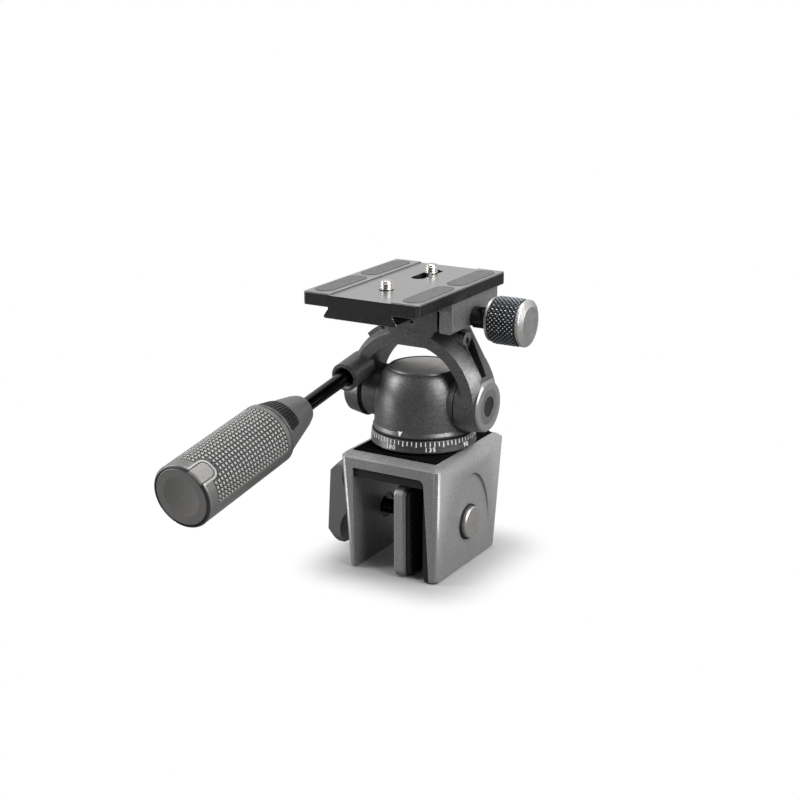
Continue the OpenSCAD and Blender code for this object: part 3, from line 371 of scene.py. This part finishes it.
# A material for each slot of the record and one for the white marks, then those of single pieces
finishes = {
    "clamp_paint": paint("clamp_paint", 150, 0.5, 0.42, 0.1, 0.7),
    "head_paint": paint("head_paint", 100, 0.72, 0.4, 0.18, 0.9),
    "black_rubber": plastic("black_rubber", 44, 0.75, vary=0.12, spec=0.15),
    "friction_black": plastic("friction_black", 26, 0.5),
    "turned_steel": metal("turned_steel", 180, 0.32),
    "black_steel": metal("black_steel", 60, 0.24, vary=0.1),
    "ring_metal": metal("ring_metal", 104, 0.34, 0.004, turned=(2, (0, 0, 0)), metallic=0.85),
    "brass": metal("brass", 110, 0.4, 0.12),
    "satin_metal": metal("satin_metal", 196, 0.42, 0.01, vary=0.05),
    "knob_black": grooved("knob_black", 10, 160, (0, 0, KNOB_Z), (1, 0, 0), 10.55, 11.3, 0.3, 0.8,
                          warm=-0.03),
    "moulded_grey": plastic("moulded_grey", 78, 0.34, 0.012, vary=0.05, spec=0.7),
    "grip_rubber": grooved("grip_rubber", 4, 92, HANDLE, HZ, 14.2, 14.58, 0.28, 0.0, 0.9, 0.012, 156),
    "anodised_black": anodised("anodised_black", 78, 172, 0.25),
    "pad_rubber": mesh_rubber("pad_rubber", 104, 0.65),
    "bright_nickel": metal("bright_nickel", 214, 0.16, 0.02, vary=0.03),
    "white_mark": plastic("white_mark", 255, 0.5, vary=0.01, edge=0.0, bump=0.03),
}
finishes["yoke_paint"] = yoke_with_boss_highlight(finishes["head_paint"])
finishes["insert_black"] = plastic("insert_black", 22, 0.36, vary=0.1, spec=0.4, edge=0.0)
finishes["axle_face"] = metal("axle_face", 158, 0.45, turned=(0, (0, 0, Z_AXLE)), vary=0.04)
# Painted light: a lighter copy of head_paint for the release jaw.
finishes["jaw_paint"] = paint("jaw_paint", 142, 0.72, 0.4, 0.18, 0.9)
finishes["rod_black"] = metal("rod_black", 58, 0.16, vary=0.06, edge=0.2)
finishes["wing_black"] = plastic("wing_black", 96, 0.4, vary=0.06)
finishes["pad_black"] = plastic("pad_black", 17, 0.9, vary=0.2, spec=0.0, edge=0.6)
finishes["cap_metal"] = metal("cap_metal", 196, 0.48, 0.01, vary=0.03, edge=0.15)
finishes["tab_grey"] = plastic("tab_grey", 128, 0.4, 0.01, vary=0.03)
finishes["cap_grey"] = plastic("cap_grey", 118, 0.46, 0.012, vary=0.03)

special = {
    "axle_right": "axle_face",
    "axle_left": "axle_face",
    "handle_rod": "rod_black",
    "spindle_bush": "black_steel",
    "top_pad": "pad_black",
    "top_cap": "cap_metal",
    "release_jaw": "jaw_paint",
    "yoke": "yoke_paint",
    "wing_knob": "wing_black",
    "cap_tab": "tab_grey",
    "end_cap": "cap_grey",
}
for node, part in nodes.items():
    part.data.materials.clear()
    part.data.materials.append(finishes[special.get(node, slot_of[node])])


# Mesh helpers

def new_object(name, mesh, mat, body, slot, *replaced, smooth=35):
    """An object of the mesh, riding a body; edges sharper than smooth, in degrees, stay sharp."""
    mesh.materials.clear()
    mesh.materials.append(mat)
    made = bpy.data.objects.new(name, mesh)
    scene.collection.objects.link(made)
    for face in mesh.polygons:
        face.use_smooth = True
    mesh.set_sharp_from_angle(angle=math.radians(smooth))
    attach(made, body)
    if replaced:
        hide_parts(*replaced)
    return made


def grid_mesh(name, points, loop=False):
    """A closed mesh from rings of points: the last ring joins the first, or both end rings are filled."""
    rows, cols = len(points), len(points[0])
    verts = [tuple(c * MM for c in p) for row in points for p in row]
    faces = []
    for v in range(rows if loop else rows - 1):
        w = (v + 1) % rows
        for u in range(cols):
            x = (u + 1) % cols
            faces.append((v * cols + u, v * cols + x, w * cols + x, w * cols + u))
    if not loop:
        faces.append(tuple(range(cols))[::-1])
        faces.append(tuple((rows - 1) * cols + u for u in range(cols)))
    mesh = bpy.data.meshes.new(name)
    mesh.from_pydata(verts, [], faces)
    mesh.validate()
    bm = bmesh.new()
    bm.from_mesh(mesh)
    bmesh.ops.recalc_face_normals(bm, faces=bm.faces)
    bm.to_mesh(mesh)
    bm.free()
    return mesh


def dressed(node, width):
    """The CAD node's own shape with its sharp edges broken by a small round, as the real part has."""
    source = nodes[node]
    bm = bmesh.new()
    bm.from_mesh(source.data)
    bmesh.ops.remove_doubles(bm, verts=bm.verts, dist=2e-6)
    bmesh.ops.dissolve_limit(bm, angle_limit=math.radians(0.4), verts=bm.verts, edges=bm.edges)
    sharp = [e for e in bm.edges if len(e.link_faces) == 2 and e.calc_face_angle(0) > math.radians(28)]
    bmesh.ops.bevel(bm, geom=sharp, offset=width * MM, offset_type="OFFSET", segments=2, profile=0.5,
                    affect="EDGES", clamp_overlap=True, loop_slide=False)
    bmesh.ops.triangulate(bm, faces=[f for f in bm.faces if len(f.verts) > 4])
    mesh = bpy.data.meshes.new(node + "_dressed")
    bm.to_mesh(mesh)
    bm.free()
    finish = source.data.materials[0]
    made = new_object(node + "_shape", mesh, finish, body_of[node], slot_of[node], node, smooth=38)
    weight = made.modifiers.new("weighted", "WEIGHTED_NORMAL")
    weight.keep_sharp = True


for name, width in (("clamp_body", 0.35), ("window_jaw", 0.3), ("wing_knob", 0.7), ("clamp_base", 0.25),
                    ("release_jaw", 0.25), ("camera_plate", 0.12), ("yoke", 0.25)):
    dressed(name, width)


# Threads: a rounded vee cut as a helix into a round bar

THREAD_COLS, THREAD_STEPS = 72, 10


def turns(cols):
    """Angles round a full turn, in radians."""
    return [2 * math.pi * u / cols for u in range(cols)]


def thread_rows(r_out, depth, pitch, z0, z1, place):
    """Rows of points along a threaded bar; place turns (radius, angle, z) into a point."""
    rows = []
    count = int((z1 - z0) / pitch * THREAD_STEPS)
    for i in range(count + 1):
        z = z0 + (z1 - z0) * i / count
        row = []
        for u in range(THREAD_COLS):
            phase = (z / pitch - u / THREAD_COLS) % 1.0
            d = abs(phase - 0.5) * 2
            cut = min(1.0, max(0.0, (d - 0.16) / 0.68))
            cut = cut * cut * (3 - 2 * cut)
            fade = min(1.0, (z1 - z) / (0.5 * pitch))
            r = r_out - depth * cut
            if fade < 1:
                r = min(r, r_out - depth * 0.75 * (1 - fade))
            row.append(place(r, 2 * math.pi * u / THREAD_COLS, z))
        rows.append(row)
    return rows


def cut_above(bm, z):
    """Everything above a height is taken off, and the cut is closed."""
    geom = bm.verts[:] + bm.edges[:] + bm.faces[:]
    done = bmesh.ops.bisect_plane(bm, geom=geom, plane_co=(0, 0, z * MM), plane_no=(0, 0, 1),
                                  clear_outer=True)
    edges = [e for e in done["geom_cut"] if isinstance(e, bmesh.types.BMEdge)]
    bmesh.ops.holes_fill(bm, edges=edges, sides=0)


def camera_screw(node, y):
    """Quarter-inch screw: its head from the part, and a cut thread with a domed tip above the plate."""
    def place(r, a, z):
        return (r * math.cos(a), PLATE_Y + y + r * math.sin(a), z)

    top = Z_RECESS + SCREW_TOP
    rows = thread_rows(SCREW_R, 0.62, 1.27, Z_RECESS + 0.34, top - 0.4, place)
    for r, z in ((2.52, top - 0.2), (2.2, top - 0.06), (1.7, top), (0.6, top)):
        rows.append([place(r, a, z) for a in turns(THREAD_COLS)])
    thread = grid_mesh(node + "_thread", rows)
    bm = bmesh.new()
    bm.from_mesh(nodes[node].data)
    bmesh.ops.remove_doubles(bm, verts=bm.verts, dist=2e-6)
    cut_above(bm, Z_RECESS + 0.36)
    bm.from_mesh(thread)
    joined = bpy.data.meshes.new(node + "_screw")
    bm.to_mesh(joined)
    bm.free()
    new_object(node + "_cut", joined, finishes["bright_nickel"], body_of[node], slot_of[node], node)


camera_screw("front_camera_screw", FRONT_SCREW_Y)
camera_screw("rear_camera_screw", REAR_SCREW_Y)


def spindle():
    """The clamp's spindle, threaded from the wing knob to the jaw."""
    def place(r, a, x):
        return (x, r * math.cos(a), Z_SPINDLE + r * math.sin(a))

    low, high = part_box("clamp_spindle")
    x0, x1 = low.x / MM, high.x / MM
    rows = [[place(3.3, a, x0) for a in turns(THREAD_COLS)]]
    rows += thread_rows(4.0, 0.55, 1.25, x0 + 0.2, x1, place)
    mesh = grid_mesh("clamp_spindle_thread", rows)
    new_object("clamp_spindle_cut", mesh, finishes["black_steel"], "window_screw", "black_steel",
               "clamp_spindle")


spindle()


# Knurled sleeve

def knurled_sleeve():
    """The release knob's sleeve with its diamond knurl, chamfered towards the head."""
    low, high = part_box("knob_sleeve")
    x0, x1 = low.x / MM, high.x / MM
    length = x1 - x0
    knurls, per_knurl, depth = 32, 9, 0.95
    cols = knurls * per_knurl
    pitch = 2 * math.pi * KNOB_R / knurls
    core = KNOB_R - 2.25

    def ring(r, x):
        return [(x, r * math.cos(a), KNOB_Z + r * math.sin(a)) for a in turns(cols)]

    rows = [ring(core, x0), ring(KNOB_R - 1.25, x0)]
    steps = int(length / pitch * per_knurl)
    for i in range(steps + 1):
        x = x0 + length * i / steps
        inner = min(1.0, (x - x0) / 1.3)
        outer = min(1.0, (x1 - x) / 0.5)
        top = KNOB_R - 1.2 * (1 - inner) - 0.6 * (1 - outer)
        row = []
        for a in turns(cols):
            s = a * KNOB_R / pitch
            t = (x - x0) / pitch
            p = abs(((s + t) % 1.0) - 0.5) * 2
            q = abs(((s - t) % 1.0) - 0.5) * 2
            peak = min(1.0, min(1 - p, 1 - q) / 0.86)
            r = min(top, KNOB_R - depth + depth * peak)
            row.append((x, r * math.cos(a), KNOB_Z + r * math.sin(a)))
        rows.append(row)
    rows += [ring(KNOB_R - 1.0, x1), ring(core, x1)]
    mesh = grid_mesh("knob_sleeve_knurl", rows, loop=True)
    new_object("knob_sleeve_knurled", mesh, finishes["knob_black"], "release_knob", "knob_black",
               "knob_sleeve", smooth=24)


knurled_sleeve()


# Grip sleeve: two panels of raised pips, a smooth border, and a slot for each tab of the cap

def handle_point(r, a, s):
    """A point r from the handle's axis, turned by a from +X, and s along the rod."""
    return HANDLE + HX * (r * math.cos(a)) + HY * (r * math.sin(a)) + HZ * s


# Pips: their pitch in millimetres along the grip and in degrees round it, and the panel they fill
PIP_S, PIP_A, PIP_HIGH = 2.17, 8.0, 0.78
PANEL_FROM, PANEL_ROWS, PANEL_HALF = 69.4, 24, 64.0
SQUARE = 3.2


def smoothstep(x, a, b):
    """0 below a and 1 above b, with a soft rise between them."""
    t = np.clip((x - a) / (b - a), 0.0, 1.0)
    return t * t * (3 - 2 * t)


def box_distance(x, y, half_x, half_y, corner):
    """Signed distance to a rounded rectangle."""
    qx, qy = np.abs(x) - half_x + corner, np.abs(y) - half_y + corner
    return np.hypot(np.maximum(qx, 0), np.maximum(qy, 0)) + np.minimum(np.maximum(qx, qy), 0) - corner


def grip_radius(theta, s):
    """Radius of the sleeve's outer face; theta in degrees."""
    local = (theta - TAB_TURN + 90) % 180 - 90
    arc = np.radians(local) * GRIP_R
    half_s = PANEL_ROWS * PIP_S / 2
    mid_s = PANEL_FROM + half_s
    panel = box_distance(arc, s - mid_s, math.radians(PANEL_HALF) * GRIP_R, half_s, 1.6)
    slot_from = END_S - TAB_L - TAB_GAP
    slot = box_distance(arc, s - (slot_from + 10), TAB_W / 2 + TAB_GAP, 10, 2.4)
    inside = 1 - smoothstep(panel, -0.35, 0.0)
    inside = inside * smoothstep(slot, 1.35, 1.7)
    u = (local + PANEL_HALF) / PIP_A % 1.0 - 0.5
    w = (s - PANEL_FROM) / PIP_S % 1.0 - 0.5
    d = (np.abs(u) ** SQUARE + np.abs(w) ** SQUARE) ** (1 / SQUARE)
    pip = 1 - smoothstep(d, 0.27, 0.45)
    pip = pip * smoothstep(-panel, 0.25, 0.6) * smoothstep(slot, 1.7, 2.1)
    frame_r = GRIP_R - 0.2 + 0.16 * (1 - smoothstep(slot, 1.0, 1.5))
    floor_r = GRIP_R - 0.8
    return frame_r * (1 - inside) + (floor_r + PIP_HIGH * pip) * inside


def grip_outer():
    """The sleeve as a closed skin: its face with the pips, its round rim and the bore for the cap."""
    cols = 360
    theta = np.arange(cols) * 360 / cols
    edge_in, edge_out = COLLAR_S + 0.7, END_S - 1.4
    rim, rim_r = 1.4, GRIP_R - 1.52
    rings = [(COLLAR_S, CORE_R + 0.05), (COLLAR_S, GRIP_R - 0.75), (COLLAR_S + 0.15, GRIP_R - 0.45),
             (COLLAR_S + 0.4, GRIP_R - 0.2)]
    rings = [(s, np.full(cols, r)) for s, r in rings]
    s = edge_in
    while s < edge_out - 0.05:
        rings.append((s, grip_radius(theta, np.full(cols, s))))
        s += PIP_S / 8
    for k in range(9):
        a = math.radians(k * 10)
        rings.append((edge_out + rim * math.sin(a), np.full(cols, rim_r + rim * math.cos(a))))
    for s, r in ((END_S - 0.3, CAP_R + 0.3), (END_S - 3, CAP_R + 0.3), (END_S - 3, CORE_R + 0.05)):
        rings.append((s, np.full(cols, r)))
    rows = [[tuple(handle_point(r[u], math.radians(theta[u]), s)) for u in range(cols)] for s, r in rings]
    return grid_mesh("grip_sleeve_outer", rows, loop=True)


def tab_cutter(turn):
    """A block with the round-ended outline of a tab's slot, standing through the sleeve's face."""
    half, corner, near = TAB_W / 2 + TAB_GAP, 2.65, END_S - TAB_L - TAB_GAP
    outline = []
    for middle, first in ((-half + corner, 180), (half - corner, 270)):
        for k in range(9):
            a = math.radians(first + 90 * k / 8)
            outline.append((middle + corner * math.cos(a), near + corner + corner * math.sin(a)))
    outline += [(half, END_S + 2), (-half, END_S + 2)]
    a = math.radians(TAB_TURN + turn)
    out = HX * math.cos(a) + HY * math.sin(a)
    side = HX * -math.sin(a) + HY * math.cos(a)
    layers = [[tuple(HANDLE + out * r + side * t + HZ * q) for t, q in outline]
              for r in (GRIP_R - 1.8, GRIP_R + 2)]
    cutter = bpy.data.objects.new("cutter", grid_mesh("cutter", layers))
    scene.collection.objects.link(cutter)
    return cutter


def grip_sleeve():
    """The rubber sleeve, with a slot cut for each tab of the cap."""
    sharp = 50
    sleeve = new_object("grip_sleeve_pips", grip_outer(), finishes["grip_rubber"], "pan_handle",
                        "grip_rubber", "grip_sleeve", smooth=sharp)
    cutters = [tab_cutter(turn) for turn in (0, 180)]
    for cutter in cutters:
        cut = sleeve.modifiers.new("slot", "BOOLEAN")
        cut.operation = "DIFFERENCE"
        cut.solver = "EXACT"
        cut.object = cutter
    bpy.context.view_layer.update()
    evaluated = sleeve.evaluated_get(bpy.context.evaluated_depsgraph_get())
    done = bpy.data.meshes.new_from_object(evaluated)
    sleeve.modifiers.clear()
    sleeve.data = done
    for face in done.polygons:
        face.use_smooth = True
    done.set_sharp_from_angle(angle=math.radians(sharp))
    for cutter in cutters:
        bpy.data.objects.remove(cutter)


grip_sleeve()


# Neck and its ribbed insert

NECK_S, NECK_END, NECK_R0, NECK_R1 = 37.0, COLLAR_S - 0.9, 7.3, 14.1
NECK_BORE, NECK_ROUND = 3.6, 1.6


def neck_radius(s):
    return NECK_R0 + (NECK_R1 - NECK_R0) * (s - NECK_S) / (NECK_END - NECK_S)


def handle_neck():
    """The tapered neck, with a rounded end towards the socket."""
    profile = [(NECK_BORE, NECK_S), (NECK_R0 - NECK_ROUND, NECK_S)]
    for k in range(1, 7):
        a = math.radians(-90 + 78 * k / 6)
        profile.append((NECK_R0 - NECK_ROUND + NECK_ROUND * math.cos(a),
                        NECK_S + NECK_ROUND + NECK_ROUND * math.sin(a)))
    profile += [(neck_radius(s), s) for s in (41, 48, 56, 62, NECK_END - 0.25)]
    profile += [(NECK_R1 - 0.2, NECK_END), (NECK_BORE, NECK_END)]
    rows = [[tuple(handle_point(r, a, s)) for a in turns(144)] for r, s in profile]
    mesh = grid_mesh("handle_neck_shape", rows, loop=True)
    new_object("handle_neck_shape", mesh, finishes["moulded_grey"], "pan_handle", "moulded_grey",
               "handle_neck", smooth=30)


def ribbed_insert():
    """The dark inset on top of the neck: ribs along the rod inside a rounded outline."""
    middle, half, ribs, cols, rows_along = 62.0, 48.0, 14, 168, 40
    s0, s1, corner = 54.6, 64.2, 2.2
    proud, rib_high, sunk = 0.08, 0.36, 0.6
    rows = []
    for i in range(rows_along + 1):
        s = s0 + (s1 - s0) * (1 - math.cos(math.pi * i / rows_along)) / 2
        near = min(s - s0, s1 - s)
        inset = corner - math.sqrt(max(0.0, corner ** 2 - (corner - near) ** 2)) if near < corner else 0.0
        reach = half - math.degrees(inset / neck_radius(s))
        edge = min(1.0, near / 0.4)
        top, low = [], []
        for u in range(cols + 1):
            a = middle + reach * (2 * u / cols - 1)
            rib = abs(((a - middle + half) / (2 * half) * ribs) % 1.0 - 0.5) * 2
            dip = min(1.0, max(0.0, (rib - 0.45) / 0.35))
            side = min(1.0, (reach - abs(a - middle)) / 1.6)
            r = neck_radius(s) + proud + rib_high * (1 - dip) * min(edge, side)
            top.append(tuple(handle_point(r, math.radians(a), s)))
            low.append(tuple(handle_point(neck_radius(s) - sunk, math.radians(a), s)))
        rows.append(top + low[::-1])
    mesh = grid_mesh("ribbed_insert_shape", rows)
    new_object("ribbed_insert_shape", mesh, finishes["insert_black"], "pan_handle", "friction_black",
               "ribbed_insert", smooth=30)


handle_neck()
ribbed_insert()


# Dial: ticks, numbers and the index

# Where the dial's first mark stands, in degrees from -Y towards +X
DIAL_START = 36.6


def ring_radius(z):
    """Radius of the ring's face, which leans inwards a little."""
    return RING_R - 0.65 * (z - Z_RING - 0.3) / (Z_RING_TOP - Z_RING - 0.6)


def on_cylinder(radius, azimuth, z):
    return (radius * math.sin(azimuth), -radius * math.cos(azimuth), z)


def tick_marks():
    """A white line each 5 degrees: long at each third one that has no number under it."""
    bm = bmesh.new()
    marks, step = 72, 5
    z1 = Z_RING_TOP - 0.42
    half = 0.24 / RING_R
    for k in range(marks):
        numbered = k % 9 == 0
        long = k % 3 == 0 and not numbered
        middle = math.radians(DIAL_START + step * k)
        z0 = z1 - (2.6 if long else 1.95)
        corners = []
        for proud in (0.035, -0.08):
            for z in (z0, z1):
                for a in (middle - half, middle + half):
                    corners.append(bm.verts.new([c * MM for c in on_cylinder(ring_radius(z) + proud, a, z)]))
        o = corners[:4]
        i = corners[4:]
        for quad in ((o[0], o[1], o[3], o[2]), (i[1], i[0], i[2], i[3]), (o[0], i[0], i[1], o[1]),
                     (o[2], o[3], i[3], i[2]), (o[0], o[2], i[2], i[0]), (o[1], i[1], i[3], o[3])):
            bm.faces.new(quad)
    bmesh.ops.recalc_face_normals(bm, faces=bm.faces)
    mesh = bpy.data.meshes.new("dial_ticks")
    bm.to_mesh(mesh)
    bm.free()
    new_object("dial_ticks", mesh, finishes["white_mark"], "window_clamp", "ring_metal")


def flat_figures(words):
    """A thin mesh of the words, centred on their foot."""
    curve = bpy.data.curves.new("figures", "FONT")
    curve.body = words
    curve.size = 3.0
    curve.space_character = 1.28
    curve.offset = 0.07
    curve.extrude = 0.06
    curve.align_x = "CENTER"
    curve.align_y = "BOTTOM_BASELINE"
    curve.resolution_u = 4
    holder = bpy.data.objects.new("figures", curve)
    scene.collection.objects.link(holder)
    bpy.context.view_layer.update()
    flat = bpy.data.meshes.new_from_object(holder.evaluated_get(bpy.context.evaluated_depsgraph_get()))
    bpy.data.objects.remove(holder)
    return flat


def numbers():
    """The dial's figures, each 45 degrees, bent onto the ring."""
    bm = bmesh.new()
    for k, words in enumerate(("135", "90", "45", "0", "45", "90", "135", "180")):
        flat = flat_figures(words)
        middle = math.radians(DIAL_START + 45 * k)
        for v in flat.vertices:
            x, y, out = v.co
            z = Z_RING + 1.05 + y
            r = ring_radius(z) + out * 0.7 - 0.005
            v.co = [c * MM for c in on_cylinder(r, middle + x * 1.02 / RING_R, z)]
        bm.from_mesh(flat)
        bpy.data.meshes.remove(flat)
    bmesh.ops.remove_doubles(bm, verts=bm.verts, dist=1e-7)
    bmesh.ops.recalc_face_normals(bm, faces=bm.faces)
    mesh = bpy.data.meshes.new("dial_numbers")
    bm.to_mesh(mesh)
    bm.free()
    new_object("dial_numbers", mesh, finishes["white_mark"], "window_clamp", "ring_metal")


def skirt_radius(z):
    """Radius of the head's foot above the dial: a rim, a chamfer, then the body."""
    rim_top, chamfer_top = 21.4, 22.8
    if z < rim_top:
        return 24.62
    if z < chamfer_top:
        return 24.6 - 0.7 * (z - 21.3) / 1.5
    return 23.9 - 0.02 * (z - chamfer_top)


def index_arrow():
    """The white pointer above the dial."""
    z_middle, azimuth, body_r = 22.45, math.radians(1.9), 24.3
    outline = [(-1.15, 1.3), (0, 0.65), (1.15, 1.3), (0.3, -1.3), (-0.3, -1.3)]
    points = []
    for proud in (-0.3, 0.04):
        points.append([on_cylinder(skirt_radius(z_middle + y) + proud, azimuth + x / body_r, z_middle + y)
                       for x, y in outline])
    new_object("index_arrow", grid_mesh("index_arrow", points), finishes["white_mark"], "pan_head",
               "head_paint")


tick_marks()
numbers()
index_arrow()


# Floor, light and camera

def floor_material():
    """Grey where the camera sees the shadow, fading to plain white round the clamp's foot."""
    mat = bpy.data.materials.new("floor_white")
    mat.use_nodes = True
    mat.node_tree.nodes.clear()
    t = Tree(mat.node_tree)
    out = t.add("ShaderNodeOutputMaterial")
    seen = t.add("ShaderNodeBsdfDiffuse")
    seen.inputs["Color"].default_value = (0.42, 0.42, 0.42, 1)
    bounce = t.add("ShaderNodeBsdfDiffuse")
    bounce.inputs["Color"].default_value = (0.2, 0.2, 0.2, 1)
    diffuse = t.add("ShaderNodeMixShader")
    glow = t.add("ShaderNodeEmission")
    glow.inputs["Strength"].default_value = 1.0
    light = t.add("ShaderNodeLightPath")
    coord = t.add("ShaderNodeTexCoord")
    fold = t.add("ShaderNodeVectorMath", operation="ABSOLUTE")
    shift = t.add("ShaderNodeVectorMath", operation="SUBTRACT")
    shift.inputs[1].default_value = (0.022, 0.028, 0.048)
    clip = t.add("ShaderNodeVectorMath", operation="MAXIMUM")
    far = t.add("ShaderNodeVectorMath", operation="LENGTH")
    t.link(coord.outputs["Object"], fold.inputs[0])
    t.link(fold.outputs["Vector"], shift.inputs[0])
    t.link(shift.outputs["Vector"], clip.inputs[0])
    t.link(clip.outputs["Vector"], far.inputs[0])
    white = t.ramp(far.outputs["Value"], 0.0, 1.0, 0.004, 0.034, "SMOOTHSTEP")
    t.link(light.outputs["Is Camera Ray"], diffuse.inputs[0])
    t.link(bounce.outputs[0], diffuse.inputs[1])
    t.link(seen.outputs[0], diffuse.inputs[2])
    share = t.add("ShaderNodeMath", operation="MULTIPLY")
    t.link(white, share.inputs[0])
    t.link(light.outputs["Is Camera Ray"], share.inputs[1])
    mix = t.add("ShaderNodeMixShader")
    t.link(share.outputs[0], mix.inputs[0])
    t.link(diffuse.outputs[0], mix.inputs[1])
    t.link(glow.outputs[0], mix.inputs[2])
    t.link(mix.outputs[0], out.inputs["Surface"])
    return mat


def floor():
    size, z = 4.0, Z_FLOOR * MM
    mesh = bpy.data.meshes.new("floor")
    corners = [(-size, -size, z), (size, -size, z), (size, size, z), (-size, size, z)]
    mesh.from_pydata(corners, [], [(0, 1, 2, 3)])
    made = bpy.data.objects.new("floor", mesh)
    scene.collection.objects.link(made)
    mesh.materials.append(floor_material())


def world():
    """White for the camera, and for the object a bright surround with a dark side towards the camera."""
    made = bpy.data.worlds.new("studio")
    scene.world = made
    made.use_nodes = True
    made.node_tree.nodes.clear()
    t = Tree(made.node_tree)
    out = t.add("ShaderNodeOutputWorld")
    back = t.add("ShaderNodeBackground")
    back.inputs["Color"].default_value = (1, 1, 1, 1)
    coord = t.add("ShaderNodeTexCoord")
    dot = t.add("ShaderNodeVectorMath", operation="DOT_PRODUCT")
    dot.inputs[1].default_value = Vector((0.42, -0.88, 0.12)).normalized()
    t.link(coord.outputs["Generated"], dot.inputs[0])
    bright = t.ramp(dot.outputs["Value"], 0.72, 0.06, 0.15, 0.9, "SMOOTHSTEP")
    light = t.add("ShaderNodeLightPath")
    mix = t.add("ShaderNodeMix", data_type="FLOAT")
    t.link(light.outputs["Is Camera Ray"], mix.inputs[0])
    t.link(bright, mix.inputs[2])
    mix.inputs[3].default_value = 1.0
    t.link(mix.outputs[0], back.inputs["Strength"])
    t.link(back.outputs[0], out.inputs["Surface"])


def lamp(name, place, target, size, size_y, power):
    data = bpy.data.lights.new(name, "AREA")
    data.shape = "RECTANGLE"
    data.size, data.size_y, data.energy = size, size_y, power
    made = bpy.data.objects.new(name, data)
    made.location = place
    made.rotation_euler = (Vector(target) - Vector(place)).to_track_quat("-Z", "Y").to_euler()
    scene.collection.objects.link(made)


def camera():
    """The photo's camera: its place in metres, its turn about Z and its height in degrees."""
    place, azimuth, height, lens = (0.356788, -0.631513, 0.251351), 30.37, 16.783, 70.66
    data = bpy.data.cameras.new("camera")
    data.lens = lens
    data.sensor_width = 36.0
    made = bpy.data.objects.new("camera", data)
    a, e = math.radians(azimuth), math.radians(height)
    back = Vector((math.sin(a) * math.cos(e), -math.cos(a) * math.cos(e), math.sin(e)))
    made.location = place
    made.rotation_euler = (-back).to_track_quat("-Z", "Y").to_euler()
    scene.collection.objects.link(made)
    scene.camera = made


floor()
world()
lamp("right_box", (0.5, -0.06, 0.34), (0, 0, 0.05), 0.4, 0.4, 4.2)
lamp("left_strip", (-0.5, -0.3, 0.2), (0, -0.02, 0.03), 0.22, 0.6, 3.2)
lamp("top_box", (0.0, 0.05, 0.75), (0, -0.04, 0.03), 0.5, 0.4, 3.0)
camera()

scene.view_settings.view_transform = "Standard"
